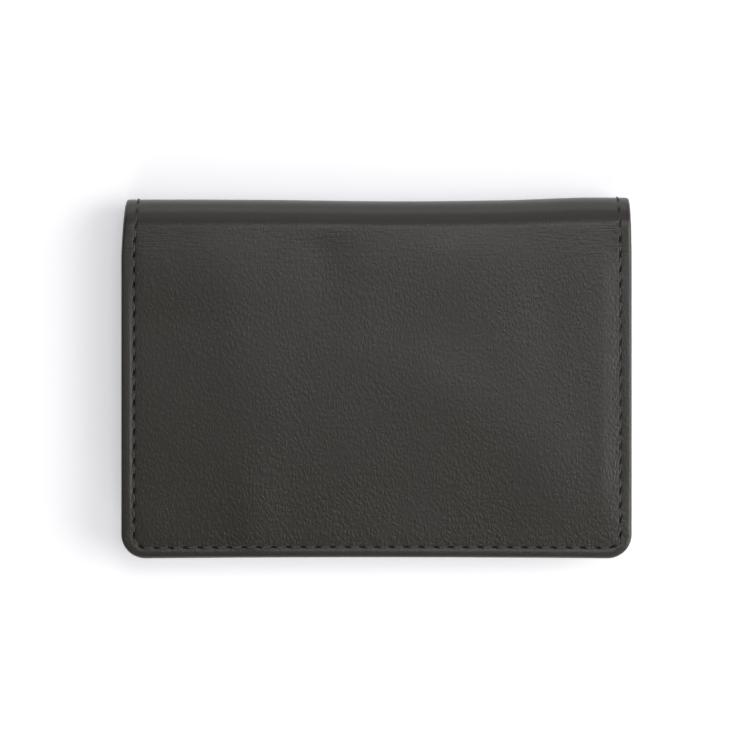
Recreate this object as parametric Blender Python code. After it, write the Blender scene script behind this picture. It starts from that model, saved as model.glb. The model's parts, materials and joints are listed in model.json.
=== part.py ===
"""Turned-edge leather business card holder, closed and lying on its back cover.

Two board-stiffened covers are joined by one leather fold. The back cover carries a bellows pocket
for a stack of cards, the front cover carries two stepped card slots. Metres, +Z up. X runs along
the fold, +Y points at the fold, and the origin is on the table under the middle of the case.
"""

import math

import bmesh
import bpy

# Outside of the closed case
CLOSED_WIDTH = 0.10795
CLOSED_DEPTH = 0.0762
THICKNESS = 0.0127
CORNER_RADIUS = 0.0052

# Sheets, and the air between neighbours that touch on the real case
COVER_LEATHER = 0.0008
BOARD = 0.0004
LINING = 0.0005
SLOT_LEATHER = 0.0005
WALL_LEATHER = 0.0007
WALL_LINING = 0.0003
GUSSET_LEATHER = 0.0004
LAYER_GAP = 0.00025
SIDE_GAP = 0.0003

# The turned edge of a cover, and the channel that its seam is pulled into
EDGE_ROLL_WIDTH = 0.0018
EDGE_BEAD_WIDTH = 0.0014
SEAM_INSET = 0.0025
CHANNEL_HALF_WIDTH = 0.0006
CHANNEL_DEPTH = 0.00045

# Seam threads, drawn as the flattened line that their stitches make
THREAD_WIDTH = 0.0005
THREAD_THICKNESS = 0.00026
THREAD_GAP = 0.00016
THREAD_SUNK = 0.00002
THREAD_SIDES = 6

# Inside: where each panel's open edge lies, and how far the panels stay inside the covers' edge
POCKET_MOUTH_Y = 0.0110
FRONT_SLOT_MOUTH_Y = 0.0070
REAR_SLOT_MOUTH_Y = 0.0180
MOUTH_SEAM_DROP = 0.0016
WALL_INSET = 0.0016
WALL_SEAM_INSET = 0.00275
GUSSET_INSET = 0.0019
GUSSET_FLANGE_WIDTH = 0.0017
GUSSET_FOLD_INSET = 0.0064
POCKET_HEIGHT = 0.0050
HINGE_LINING_TAIL = 0.0070
LINING_SHORT_OF_FOLD = 0.0008

# The fold bends along three lines, a sixth, a half and five sixths of the way round it
FOLD_LINES = 3
FOLD_PART = math.pi / FOLD_LINES
FOLD_CUT = 0.0003

# Facets
CORNER_STEPS = 6
ROLL_STEPS = 4
CHANNEL_STEPS = 4
ARC_STEPS_PER_PART = 6
LEAST_CORNER = 0.0003
PANEL_BEVEL = 0.00012

# Worked out from the above
FOLD_RADIUS = THICKNESS / 2
FOLD_Y = CLOSED_DEPTH / 2 - FOLD_RADIUS
FREE_EDGE_Y = -CLOSED_DEPTH / 2
BOARD_Z = COVER_LEATHER + LAYER_GAP
LINING_Z = BOARD_Z + BOARD + LAYER_GAP
COVER_THICKNESS = LINING_Z + LINING
REAR_SLOT_Z = COVER_THICKNESS + LAYER_GAP
FRONT_SLOT_Z = REAR_SLOT_Z + SLOT_LEATHER + LAYER_GAP
GUSSET_Z = COVER_THICKNESS + LAYER_GAP
WALL_Z = COVER_THICKNESS + POCKET_HEIGHT
WALL_LINING_Z = WALL_Z - LAYER_GAP - WALL_LINING
GUSSET_TOP = WALL_LINING_Z - LAYER_GAP
PANEL_INSET = EDGE_BEAD_WIDTH + SIDE_GAP
NEUTRAL_RADIUS = FOLD_RADIUS - COVER_LEATHER / 2
AXIS_RADIUS = NEUTRAL_RADIUS * (FOLD_PART / 2) / math.sin(FOLD_PART / 2)
CUT_ANGLE = FOLD_CUT / FOLD_RADIUS

COLOURS = {
    "outer_leather": (0.048, 0.043, 0.037),
    "lining_leather": (0.036, 0.033, 0.030),
    "gusset_leather": (0.030, 0.028, 0.026),
    "stiffener_board": (0.32, 0.27, 0.20),
    "sewing_thread": (0.016, 0.015, 0.014),
}
ROUGHNESS = {
    "outer_leather": 0.50,
    "lining_leather": 0.58,
    "gusset_leather": 0.62,
    "stiffener_board": 0.90,
    "sewing_thread": 0.70,
}


def clear_scene():
    for old in list(bpy.data.objects):
        bpy.data.objects.remove(old, do_unlink=True)


def material(name):
    made = bpy.data.materials.get(name)
    if made is None:
        made = bpy.data.materials.new(name)
        made.use_nodes = True
        shader = made.node_tree.nodes["Principled BSDF"]
        shader.inputs["Base Color"].default_value = (*COLOURS[name], 1.0)
        shader.inputs["Roughness"].default_value = ROUGHNESS[name]
        shader.inputs["Metallic"].default_value = 0.0
        made.diffuse_color = (*COLOURS[name], 1.0)
    return made


def axis_empty(name, at, parent=None):
    """An empty on a moving body's axis. It stands unturned, so a place under it is a plain offset."""
    empty = bpy.data.objects.new(name, None)
    bpy.context.scene.collection.objects.link(empty)
    empty["world_at"] = at
    empty.location = at if parent is None else offset_from(parent, at)
    empty.parent = parent
    empty.empty_display_size = CORNER_RADIUS
    return empty


def offset_from(parent, at):
    if parent is None:
        return at
    return tuple(a - b for a, b in zip(at, parent["world_at"]))


def add_piece(name, bm, finish, parent=None, turned_over=False):
    """Makes a piece from a bmesh drawn in its own cover's frame, with that cover's outside at z = 0.

    turned_over puts it on the front cover, which is the back cover's frame turned half round +Y.
    """
    bmesh.ops.recalc_face_normals(bm, faces=bm.faces)
    mesh = bpy.data.meshes.new(name)
    bm.to_mesh(mesh)
    bm.free()
    mesh.materials.append(material(finish))
    mesh.shade_smooth()
    mesh.set_sharp_from_angle(angle=math.radians(35))
    piece = bpy.data.objects.new(name, mesh)
    bpy.context.scene.collection.objects.link(piece)
    at = (0.0, 0.0, THICKNESS) if turned_over else (0.0, 0.0, 0.0)
    piece.location = offset_from(parent, at)
    piece.rotation_euler = (0.0, math.pi if turned_over else 0.0, 0.0)
    piece.parent = parent
    return piece


def soften_edges(piece):
    bevel = piece.modifiers.new("pared edge", "BEVEL")
    bevel.width = PANEL_BEVEL
    bevel.segments = 1
    bevel.limit_method = "ANGLE"
    bevel.angle_limit = math.radians(50)


def edge_path(inset, side_ys):
    """Plan points along the free edge drawn in by inset: down the left side, round both corners
    and up the right side. side_ys are the stations on each side, from the fold downwards."""
    radius = max(CORNER_RADIUS - inset, LEAST_CORNER)
    half = CLOSED_WIDTH / 2 - inset
    centre_y = FREE_EDGE_Y + inset + radius
    left = [(-half, y) for y in side_ys]
    for step in range(CORNER_STEPS + 1):
        angle = math.pi * (1 + 0.5 * step / CORNER_STEPS)
        left.append((radius - half + radius * math.cos(angle), centre_y + radius * math.sin(angle)))
    return left + [(-x, y) for x, y in reversed(left)]


def bridge(bm, ring_a, ring_b, closed):
    count = len(ring_a)
    for i in range(count if closed else count - 1):
        j = (i + 1) % count
        bm.faces.new((ring_a[i], ring_a[j], ring_b[j], ring_b[i]))


def round_fold(x, z, angle):
    """The point (x, FOLD_Y, z) carried round the fold by angle from the back cover."""
    radius = FOLD_RADIUS - z
    return (x, FOLD_Y + radius * math.sin(angle), FOLD_RADIUS - radius * math.cos(angle))


def arc(centre, half_axes, start, stop, steps):
    """Points on an elliptic arc, its ends included. Angles are in quarter turns."""
    points = []
    for step in range(steps + 1):
        angle = math.pi / 2 * (start + (stop - start) * step / steps)
        offset = (half_axes[0] * math.cos(angle), half_axes[1] * math.sin(angle))
        points.append((centre[0] + offset[0], centre[1] + offset[1]))
    return points


def cover_profile():
    """(inset, height) of a cover's leather from its outside face, through the seam channel and
    round the turned edge, to its inside face."""
    channel = arc((SEAM_INSET, 0.0), (CHANNEL_HALF_WIDTH, CHANNEL_DEPTH), 0, 2, CHANNEL_STEPS)
    middle = COVER_THICKNESS / 2
    outer_roll = arc((EDGE_ROLL_WIDTH, middle), (EDGE_ROLL_WIDTH, middle), 3, 2, ROLL_STEPS)
    inner_width = EDGE_BEAD_WIDTH - PANEL_BEVEL
    inner_roll = arc((inner_width, middle), (inner_width, middle), 2, 1, ROLL_STEPS)
    bead_wall = [(EDGE_BEAD_WIDTH, COVER_THICKNESS - PANEL_BEVEL), (EDGE_BEAD_WIDTH, COVER_LEATHER)]
    return channel + outer_roll + inner_roll[1:] + bead_wall


def fold_angles(start, stop, steps):
    return [start + (stop - start) * step / steps for step in range(steps + 1)]


def cover_mesh():
    """A cover's leather: the sheet with its turned edge, and the first sixth of the fold."""
    profile = cover_profile()
    bm = bmesh.new()
    rings = [[bm.verts.new((x, y, z)) for x, y in edge_path(inset, [FOLD_Y])] for inset, z in profile]
    for ring_a, ring_b in zip(rings, rings[1:]):
        bridge(bm, ring_a, ring_b, closed=False)
    bm.faces.new(rings[0])
    bm.faces.new(list(reversed(rings[-1])))
    section = [ring[0] for ring in rings] + [ring[-1] for ring in reversed(rings)]
    flat = [(vert.co.x, vert.co.z) for vert in section]
    stop = FOLD_PART / 2 - CUT_ANGLE / 2
    for angle in fold_angles(0.0, stop, ARC_STEPS_PER_PART // 2)[1:]:
        ring = [bm.verts.new(round_fold(x, z, angle)) for x, z in flat]
        bridge(bm, section, ring, closed=True)
        section = ring
    bm.faces.new(section)
    return bm


def fold_band_mesh(section, start, stop, steps, tail=0.0):
    """A strip of constant (x, height) section carried round the fold, with a flat tail if asked."""
    places = [[round_fold(x, z, angle) for x, z in section] for angle in fold_angles(start, stop, steps)]
    if tail:
        places.insert(0, [(x, FOLD_Y - tail, z) for x, z in section])
    return swept_mesh(places)


def swept_mesh(places):
    """A closed body through rings of places, capped at both ends."""
    bm = bmesh.new()
    rings = [[bm.verts.new(place) for place in ring] for ring in places]
    for ring_a, ring_b in zip(rings, rings[1:]):
        bridge(bm, ring_a, ring_b, closed=True)
    bm.faces.new(rings[0])
    bm.faces.new(rings[-1])
    return bm


def edge_band_mesh(profile, side_ys, lifts=None, round_to=0.0):
    """A closed (inset, height) profile swept along the free edge. lifts raise the stations of a side,
    and round_to carries both ends on round the fold by that angle."""
    lifts = lifts or [0.0] * len(side_ys)
    corner = [lifts[-1]] * (CORNER_STEPS + 1)
    heights = lifts + corner + corner + lifts[::-1]
    paths = [edge_path(inset, side_ys) for inset, _ in profile]
    places = []
    for station, lift in enumerate(heights):
        places.append([(*path[station], z + lift) for path, (_, z) in zip(paths, profile)])
    if round_to:
        for angle in fold_angles(0.0, round_to, ARC_STEPS_PER_PART // 2)[1:]:
            left = [round_fold(inset - CLOSED_WIDTH / 2, z, angle) for inset, z in profile]
            places.insert(0, left)
            places.append([(-x, y, z) for x, y, z in left])
    return swept_mesh(places)


def panel_mesh(inset, mouth_y, z, thickness):
    """A flat panel that follows the free edge and ends in a straight edge at mouth_y."""
    outline = edge_path(inset, [mouth_y])
    return swept_mesh([[(x, y, height) for x, y in outline] for height in (z, z + thickness)])


def thread_section(centre, z):
    """The outline of a flattened thread, centred across on centre and resting at height z."""
    middle = z + THREAD_THICKNESS / 2
    half_height = THREAD_THICKNESS / 2 / math.sin(math.tau / THREAD_SIDES)
    last = 4 * (THREAD_SIDES - 1) / THREAD_SIDES
    return arc((centre, middle), (THREAD_WIDTH / 2, half_height), 0, last, THREAD_SIDES - 1)


def straight_thread_mesh(y, z, half_length):
    """A thread that runs straight across, along +X, such as the line under a slot's mouth."""
    section = thread_section(y, z)
    ends = (-half_length, half_length)
    return swept_mesh([[(x, across, height) for across, height in section] for x in ends])


def gusset_profile():
    """The bellows strip: a sewn flange, one inward fold, and a second sewn flange."""
    outer = GUSSET_INSET
    bend = GUSSET_INSET + GUSSET_FLANGE_WIDTH
    groove_floor = GUSSET_Z + GUSSET_LEATHER
    groove_top = GUSSET_TOP - GUSSET_LEATHER
    middle = (groove_floor + groove_top) / 2
    slope = math.atan2(middle - groove_floor, GUSSET_FOLD_INSET - bend)
    round_bend = GUSSET_LEATHER * math.tan(slope / 2)
    round_fold_line = GUSSET_LEATHER / math.sin(slope)
    return [
        (outer, GUSSET_Z),
        (bend + round_bend, GUSSET_Z),
        (GUSSET_FOLD_INSET + round_fold_line, middle),
        (bend + round_bend, GUSSET_TOP),
        (outer, GUSSET_TOP),
        (outer, groove_top),
        (bend, groove_top),
        (GUSSET_FOLD_INSET, middle),
        (bend, groove_floor),
        (outer, groove_floor),
    ]


def mirrored_section(profile):
    """An (inset, height) profile as an (x, height) section that spans the case."""
    left = [(inset - CLOSED_WIDTH / 2, z) for inset, z in profile]
    return left + [(-x, z) for x, z in reversed(left)]


def stepped_thread(z, steps):
    """Stations and lifts of an inside seam that climbs from the lining onto the panels it crosses."""
    side_ys = [FOLD_Y]
    lifts = [0.0]
    ramp = THREAD_WIDTH
    for mouth_y, lift in steps:
        side_ys += [mouth_y + 2 * ramp, mouth_y + ramp]
        lifts += [lifts[-1], lift]
    return edge_band_mesh(thread_section(SEAM_INSET, z), side_ys, lifts)


def hinge_lining_section():
    half = CLOSED_WIDTH / 2 - PANEL_INSET
    return [(-half, BOARD_Z), (half, BOARD_Z), (half, BOARD_Z + BOARD), (-half, BOARD_Z + BOARD)]


def build_cover(side, axis, turned_over):
    """What both covers have: leather, board, lining, the hinge lining's tail and both seam threads."""
    add_piece(f"{side}_cover", cover_mesh(), "outer_leather", axis, turned_over)
    board_end = FOLD_Y - HINGE_LINING_TAIL - SIDE_GAP
    board = panel_mesh(PANEL_INSET, board_end, BOARD_Z, BOARD)
    add_piece(f"{side}_stiffener", board, "stiffener_board", axis, turned_over)
    lining = panel_mesh(PANEL_INSET, FOLD_Y - LINING_SHORT_OF_FOLD, LINING_Z, LINING)
    soften_edges(add_piece(f"{side}_lining", lining, "lining_leather", axis, turned_over))
    stop = FOLD_PART / 2 - CUT_ANGLE / 2
    tail = fold_band_mesh(hinge_lining_section(), 0.0, stop, ARC_STEPS_PER_PART // 2, HINGE_LINING_TAIL)
    add_piece(f"{side}_hinge_lining", tail, "lining_leather", axis, turned_over)
    outer = edge_band_mesh(thread_section(SEAM_INSET, THREAD_SUNK), [FOLD_Y], round_to=stop)
    add_piece(f"{side}_seam_outer_thread", outer, "sewing_thread", axis, turned_over)


def build_back():
    build_cover("back", None, turned_over=False)
    gusset = edge_band_mesh(gusset_profile(), [POCKET_MOUTH_Y])
    add_piece("card_pocket_gusset", gusset, "gusset_leather")
    on_flange = GUSSET_Z + GUSSET_LEATHER - COVER_THICKNESS
    inner = stepped_thread(COVER_THICKNESS + THREAD_GAP, [(POCKET_MOUTH_Y, on_flange)])
    add_piece("back_seam_inner_thread", inner, "sewing_thread")


def build_pocket_wall():
    axis = axis_empty("pocket_wall_axis", (0.0, 0.0, WALL_Z))
    wall = panel_mesh(WALL_INSET, POCKET_MOUTH_Y, WALL_Z, WALL_LEATHER)
    soften_edges(add_piece("card_pocket_wall", wall, "outer_leather", axis))
    facing = panel_mesh(GUSSET_INSET, POCKET_MOUTH_Y - SIDE_GAP, WALL_LINING_Z, WALL_LINING)
    add_piece("card_pocket_wall_lining", facing, "lining_leather", axis)
    seam_z = WALL_Z + WALL_LEATHER + THREAD_GAP
    seam = edge_band_mesh(thread_section(WALL_SEAM_INSET, seam_z), [POCKET_MOUTH_Y - SIDE_GAP])
    add_piece("card_pocket_seam_thread", seam, "sewing_thread", axis)
    mouth_half = CLOSED_WIDTH / 2 - WALL_SEAM_INSET - THREAD_WIDTH
    mouth = straight_thread_mesh(POCKET_MOUTH_Y - MOUTH_SEAM_DROP, seam_z, mouth_half)
    add_piece("card_pocket_mouth_thread", mouth, "sewing_thread", axis)


def fold_axis(number, parent):
    """The empty on bending line number 0, 1 or 2 of the fold."""
    angle = (number + 0.5) * FOLD_PART
    y = FOLD_Y + AXIS_RADIUS * math.sin(angle)
    z = FOLD_RADIUS - AXIS_RADIUS * math.cos(angle)
    return axis_empty(f"fold_axis_{number + 1}", (0.0, y, z), parent)


def build_spine_part(name, number, parent):
    """One rigid third of the fold's leather, between two bending lines, with its lining and threads."""
    axis = fold_axis(number, parent)
    start = (number + 0.5) * FOLD_PART + CUT_ANGLE / 2
    stop = (number + 1.5) * FOLD_PART - CUT_ANGLE / 2
    leather = fold_band_mesh(mirrored_section(cover_profile()), start, stop, ARC_STEPS_PER_PART)
    add_piece(f"spine_leather_{name}", leather, "outer_leather", axis)
    lining = fold_band_mesh(hinge_lining_section(), start, stop, ARC_STEPS_PER_PART)
    add_piece(f"spine_hinge_lining_{name}", lining, "lining_leather", axis)
    for side, sign in (("left", -1), ("right", 1)):
        section = thread_section(sign * (CLOSED_WIDTH / 2 - SEAM_INSET), THREAD_SUNK)
        thread = fold_band_mesh(section, start, stop, ARC_STEPS_PER_PART)
        add_piece(f"spine_{side}_thread_{name}", thread, "sewing_thread", axis)
    return axis


def build_front(axis):
    build_cover("front", axis, turned_over=True)
    slots = (("rear", REAR_SLOT_MOUTH_Y, REAR_SLOT_Z), ("front", FRONT_SLOT_MOUTH_Y, FRONT_SLOT_Z))
    lift = 0.0
    steps = []
    for name, mouth_y, z in slots:
        panel = panel_mesh(PANEL_INSET, mouth_y, z, SLOT_LEATHER)
        soften_edges(add_piece(f"card_slot_{name}", panel, "lining_leather", axis, turned_over=True))
        half = CLOSED_WIDTH / 2 - SEAM_INSET - 2 * THREAD_WIDTH
        thread = straight_thread_mesh(mouth_y - MOUTH_SEAM_DROP, z + SLOT_LEATHER + THREAD_GAP, half)
        add_piece(f"card_slot_{name}_thread", thread, "sewing_thread", axis, turned_over=True)
        lift += LAYER_GAP + SLOT_LEATHER
        steps.append((mouth_y, lift))
    inner = stepped_thread(COVER_THICKNESS + THREAD_GAP, steps)
    add_piece("front_seam_inner_thread", inner, "sewing_thread", axis, turned_over=True)


def main():
    clear_scene()
    build_back()
    build_pocket_wall()
    lower = build_spine_part("lower", 0, None)
    upper = build_spine_part("upper", 1, lower)
    build_front(fold_axis(2, upper))


main()
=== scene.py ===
# %% [markdown]
# # A folding card case in soft black leather
#
# The real object is two stiff covers joined by one leather fold. The back cover carries a bellows
# pocket for a stack of cards, and the front cover carries two stepped card slots. This file dresses
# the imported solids: it gives each sewn piece its rounded edges, its seams and its grain.
#
# The solids come first. They say where every piece is and which body it moves with, and nothing here
# moves or resizes them.

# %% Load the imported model
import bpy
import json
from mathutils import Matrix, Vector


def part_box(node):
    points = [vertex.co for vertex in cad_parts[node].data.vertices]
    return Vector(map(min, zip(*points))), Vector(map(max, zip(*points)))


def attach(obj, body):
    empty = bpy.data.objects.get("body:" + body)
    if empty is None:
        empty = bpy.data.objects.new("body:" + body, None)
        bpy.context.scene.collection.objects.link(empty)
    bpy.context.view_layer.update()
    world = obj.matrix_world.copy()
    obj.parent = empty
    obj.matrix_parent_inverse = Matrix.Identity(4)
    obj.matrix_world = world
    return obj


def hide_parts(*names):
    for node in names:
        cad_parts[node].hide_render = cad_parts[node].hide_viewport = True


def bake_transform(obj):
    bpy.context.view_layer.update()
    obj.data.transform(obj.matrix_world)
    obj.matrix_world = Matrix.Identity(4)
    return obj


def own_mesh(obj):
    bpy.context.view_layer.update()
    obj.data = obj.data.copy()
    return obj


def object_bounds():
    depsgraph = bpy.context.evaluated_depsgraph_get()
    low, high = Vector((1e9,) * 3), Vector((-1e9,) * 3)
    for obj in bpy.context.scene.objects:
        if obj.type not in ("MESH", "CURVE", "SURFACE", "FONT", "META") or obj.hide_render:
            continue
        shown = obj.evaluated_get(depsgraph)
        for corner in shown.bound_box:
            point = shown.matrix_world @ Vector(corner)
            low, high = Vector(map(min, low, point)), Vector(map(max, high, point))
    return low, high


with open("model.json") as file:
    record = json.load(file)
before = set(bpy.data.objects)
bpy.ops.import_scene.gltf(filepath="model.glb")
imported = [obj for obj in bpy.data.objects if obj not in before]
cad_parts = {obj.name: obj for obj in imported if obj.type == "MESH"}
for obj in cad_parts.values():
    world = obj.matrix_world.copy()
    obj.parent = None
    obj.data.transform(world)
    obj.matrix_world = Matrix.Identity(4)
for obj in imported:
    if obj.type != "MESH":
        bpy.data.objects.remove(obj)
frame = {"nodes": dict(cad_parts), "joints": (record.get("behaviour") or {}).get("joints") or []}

# %% Tools
import json
import math

import bmesh
import bpy
import numpy as np
from mathutils import Vector, noise

# %% [markdown]
# ## Sizes
#
# Leather goods are measured in millimetres, so all shapes below are worked out in millimetres and
# turned into metres once, when a mesh is made. The outside size, the radius of the fold and the
# layers' heights are read from the solids, so the two models can't drift apart.

# %% Sizes, read from the solids
MM = 0.001
cad_low, cad_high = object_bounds()
HALF_WIDTH = cad_high.x / MM
THICKNESS = cad_high.z / MM
FOLD_RADIUS = THICKNESS / 2
FOLD_Y = cad_high.y / MM - FOLD_RADIUS
FREE_EDGE_Y = cad_low.y / MM


def low_of(node, axis="z"):
    """Where a solid starts along an axis, in millimetres."""
    return getattr(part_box(node)[0], axis) / MM


def high_of(node, axis="z"):
    """Where a solid ends along an axis, in millimetres."""
    return getattr(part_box(node)[1], axis) / MM


COVER = high_of("back_lining")
print(f"case {2 * HALF_WIDTH:.1f} x {FOLD_Y + FOLD_RADIUS - FREE_EDGE_Y:.1f} x {THICKNESS:.1f} mm,",
      f"fold radius {FOLD_RADIUS:.2f}, one cover {COVER:.2f} thick")

# %% [markdown]
# ## One flat sheet
#
# The outside is cut, glued and sewn from one flat sheet, and the sheet is then closed round a stack
# of cards. Modelling it closed from the start would mean working out every stitch on a curve.
# Instead each point is drawn where it lies on the open sheet: x across, v along (0 on the crest of
# the fold, minus on the back cover, plus on the front) and its depth under the outside face. One
# function then closes the case. Everything that is sewn to the sheet uses the same three numbers.

# %% Close the sheet round the fold
QUARTER = FOLD_RADIUS * math.pi / 2
SHEET_HALF = QUARTER + FOLD_Y - FREE_EDGE_Y


def wrap(sheet):
    """Carry points (x, v, depth) of the open sheet round the fold, in millimetres."""
    x, v, depth = sheet[..., 0], sheet[..., 1], sheet[..., 2]
    angle = np.clip(v / FOLD_RADIUS, -math.pi / 2, math.pi / 2)
    flat = np.maximum(np.abs(v) - QUARTER, 0.0)
    radius = FOLD_RADIUS - depth
    y = FOLD_Y + radius * np.cos(angle) - flat
    z = FOLD_RADIUS + radius * np.sin(angle)
    return np.stack([x, y, z], axis=-1)


def sheet_v(y, cover):
    """Where a line at height y of the closed case lies along the open sheet. cover is -1 or 1."""
    return cover * (QUARTER + FOLD_Y - y)


print(f"open sheet {2 * HALF_WIDTH:.1f} x {2 * SHEET_HALF:.1f} mm")

# %% [markdown]
# Sewn leather never keeps its pattern exactly. The fold springs out a little, the seam draws its ends
# in, the crest sags between them and hangs lower on the left, and the free edge is very slightly
# hollow. These are fractions of a millimetre, but they are what makes the outline look sewn and not
# drawn with a ruler. One function moves the points of all pieces alike, so the layers stay together.

# %% Let the case settle
FOLD_TAPER_LENGTH = 12.5
FOLD_TAPER_LEFT = 0.85
FOLD_TAPER_RIGHT = 0.32
FOLD_TAPER_POWER = 1.3
CREST_SPRING = 0.42
LEFT_SAG = 0.44
LEFT_SAG_EASES_AT = 0.5
LEFT_SAG_EASES_OVER = 0.35
MIDDLE_SAG = 0.36
MIDDLE_SAG_AT = 0.10
MIDDLE_SAG_WIDTH = 0.42
SAG_FROM_Y = 20.0
EDGE_HOLLOW = 0.28
HOLLOW_FROM_Y = -25.0


def smooth(q):
    """0 below 0, 1 above 1, and an even S between them."""
    q = np.clip(q, 0.0, 1.0)
    return q * q * (3.0 - 2.0 * q)


def settle(points):
    """Move points of the closed case, in millimetres, the way the finished one sits."""
    x, y, z = points[..., 0], points[..., 1], points[..., 2]
    crest_y = FOLD_Y + FOLD_RADIUS
    across = x / HALF_WIDTH
    taper = np.where(x < 0, FOLD_TAPER_LEFT, FOLD_TAPER_RIGHT)
    taper = taper * np.clip(1 - (crest_y - y) / FOLD_TAPER_LENGTH, 0, 1) ** FOLD_TAPER_POWER
    sag = LEFT_SAG * (1 - smooth((across - LEFT_SAG_EASES_AT) / LEFT_SAG_EASES_OVER)) - CREST_SPRING
    sag = sag + MIDDLE_SAG * np.exp(-(((across - MIDDLE_SAG_AT) / MIDDLE_SAG_WIDTH) ** 2))
    hollow = EDGE_HOLLOW * (1 - across ** 2)
    y = y - sag * smooth((y - SAG_FROM_Y) / (crest_y - SAG_FROM_Y))
    y = y + hollow * smooth((HOLLOW_FROM_Y - y) / (HOLLOW_FROM_Y - FREE_EDGE_Y))
    return np.stack([x - across * taper, y, z], axis=-1)


ends = settle(wrap(np.array([[-HALF_WIDTH, 0.0, 0.0], [0.0, 0.0, 0.0], [HALF_WIDTH, 0.0, 0.0]])))
print("crest of the fold at its left end, middle and right end:", np.round(ends[:, :2], 2).tolist())

# %% [markdown]
# ## The seam line
#
# One seam runs all round the sheet, through every layer. It is the same line of needle holes on the
# outside and on the inside, so its holes are counted once and every piece asks for them. `u` is the
# distance along it, from the left end of the crest round the back cover, across the right end of the
# crest, and round the front cover. The stitches are a little over 3 mm long, eight to the inch.
#
# The seam isn't quite the same distance from the edge everywhere: it is widest on the left.

# %% Walk round the sheet's edge
CORNER_RADIUS = 5.2
NOMINAL_SEAM = 2.5
SEAM_LEFT = 2.7
SEAM_RIGHT = 2.5
SEAM_ENDS = 2.3
STITCHES = 164
WALK_STEP = 0.05
CORNER_PLACES = 60


def quarter_walk():
    """Places on the edge of a quarter of the sheet, from the fold's crest to the middle of the free
    edge, and at each place the way inward."""
    side = np.arange(0.0, SHEET_HALF - CORNER_RADIUS, WALK_STEP)
    turn = np.linspace(0.0, math.pi / 2, CORNER_PLACES)
    end = np.arange(HALF_WIDTH - CORNER_RADIUS - WALK_STEP, 0.0, -WALK_STEP)
    centre = np.array([HALF_WIDTH - CORNER_RADIUS, SHEET_HALF - CORNER_RADIUS])
    way = np.stack([np.cos(turn), np.sin(turn)], axis=-1)
    places = np.concatenate([
        np.stack([np.full_like(side, HALF_WIDTH), side], axis=-1),
        centre + CORNER_RADIUS * way,
        np.stack([end, np.full_like(end, SHEET_HALF)], axis=-1),
        [[0.0, SHEET_HALF]],
    ])
    side_inward = np.tile([-1.0, 0.0], (len(side), 1))
    end_inward = np.tile([0.0, -1.0], (len(end) + 1, 1))
    inward = np.concatenate([side_inward, -way, end_inward])
    return places, inward


quarter_places, quarter_inward = quarter_walk()
on_seam = quarter_places + NOMINAL_SEAM * quarter_inward
quarter_u = np.concatenate([[0.0], np.cumsum(np.linalg.norm(np.diff(on_seam, axis=0), axis=1))])
QUARTER_SEAM = quarter_u[-1]
PITCH = 4 * QUARTER_SEAM / STITCHES
print(f"seam {4 * QUARTER_SEAM:.1f} mm round, {STITCHES} stitches of {PITCH:.3f} mm")

# %% Ask for any place along the seam
QUARTER_SIGNS = ((-1, -1), (1, -1), (1, 1), (-1, 1))


def by_side(places, inward, left, right, ends):
    """A value of its own for each side of the sheet, passing smoothly into the next at a corner."""
    side = np.where(places[..., 0] < 0, left, right)
    return side * inward[..., 0] ** 2 + ends * inward[..., 1] ** 2


def edge_at(u):
    """The sheet's edge at distances u along the seam: the place, the way inward, and the seam's
    own distance from the edge."""
    u = np.mod(np.asarray(u, float), 4 * QUARTER_SEAM)
    which = np.minimum((u // QUARTER_SEAM).astype(int), 3)
    share = u - which * QUARTER_SEAM
    share = np.where(which % 2 == 1, QUARTER_SEAM - share, share)
    signs = np.array(QUARTER_SIGNS)[which]
    places, inward = (
        signs * np.stack([np.interp(share, quarter_u, line[:, k]) for k in (0, 1)], axis=-1)
        for line in (quarter_places, quarter_inward)
    )
    return places, inward, by_side(places, inward, SEAM_LEFT, SEAM_RIGHT, SEAM_ENDS)


def from_hole(u):
    """How far along the seam a place is from its nearest needle hole."""
    return (np.asarray(u) / PITCH + 0.5) % 1.0 * PITCH - PITCH / 2


left_crest, right_crest = edge_at([0.0, 2 * QUARTER_SEAM])[0]
print("the seam starts at", left_crest, "and crosses the crest again at", np.round(right_crest, 2))

# %% [markdown]
# ## What a stitch does to leather
#
# A stitch presses a narrow groove under the thread, opens a slit where the needle went through, and
# puckers the leather round the slit. The slits are the dark dashes that one sees from a step away,
# and they stand at a slight slant to the seam. All three are simple functions of the distance across
# and along the seam, so one can be changed without the others. A displacement texture could do this
# too, but it would need a fine mesh everywhere, and the slits have to meet the threads.

# %% Groove, pucker and needle slit
SLIT_HALF_LENGTH = 0.72
SLIT_HALF_WIDTH = 0.17
SLIT_DEPTH = 0.50
SLIT_SLANT = 0.14
SLIT_SOFTNESS = 1.6
GROOVE_WIDTH = 0.26
GROOVE_DEPTH = 0.02
PUCKER_LENGTH = 0.75
PUCKER_WIDTH = 0.50
PUCKER_DEPTH = 0.035


def slit(across, along):
    """1 inside a needle slit, 0 outside it, with a soft edge."""
    across = across - SLIT_SLANT * along
    within_length = smooth(SLIT_SOFTNESS - np.abs(along) / SLIT_HALF_LENGTH)
    return within_length * smooth(SLIT_SOFTNESS - np.abs(across) / SLIT_HALF_WIDTH)


def drawn_in(across, along):
    """How deep a seam's stitches pull the leather in, apart from the slight dip of the whole seam."""
    groove = GROOVE_DEPTH * np.exp(-((across / GROOVE_WIDTH) ** 2))
    pucker = PUCKER_DEPTH * np.exp(-((across / PUCKER_WIDTH) ** 2) - (along / PUCKER_LENGTH) ** 2)
    return groove + pucker + SLIT_DEPTH * slit(across, along)


print("pulled in at a slit:", round(float(drawn_in(0.0, 0.0)), 2),
      "and half way to the next:", round(float(drawn_in(0.0, PITCH / 2)), 2))

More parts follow.
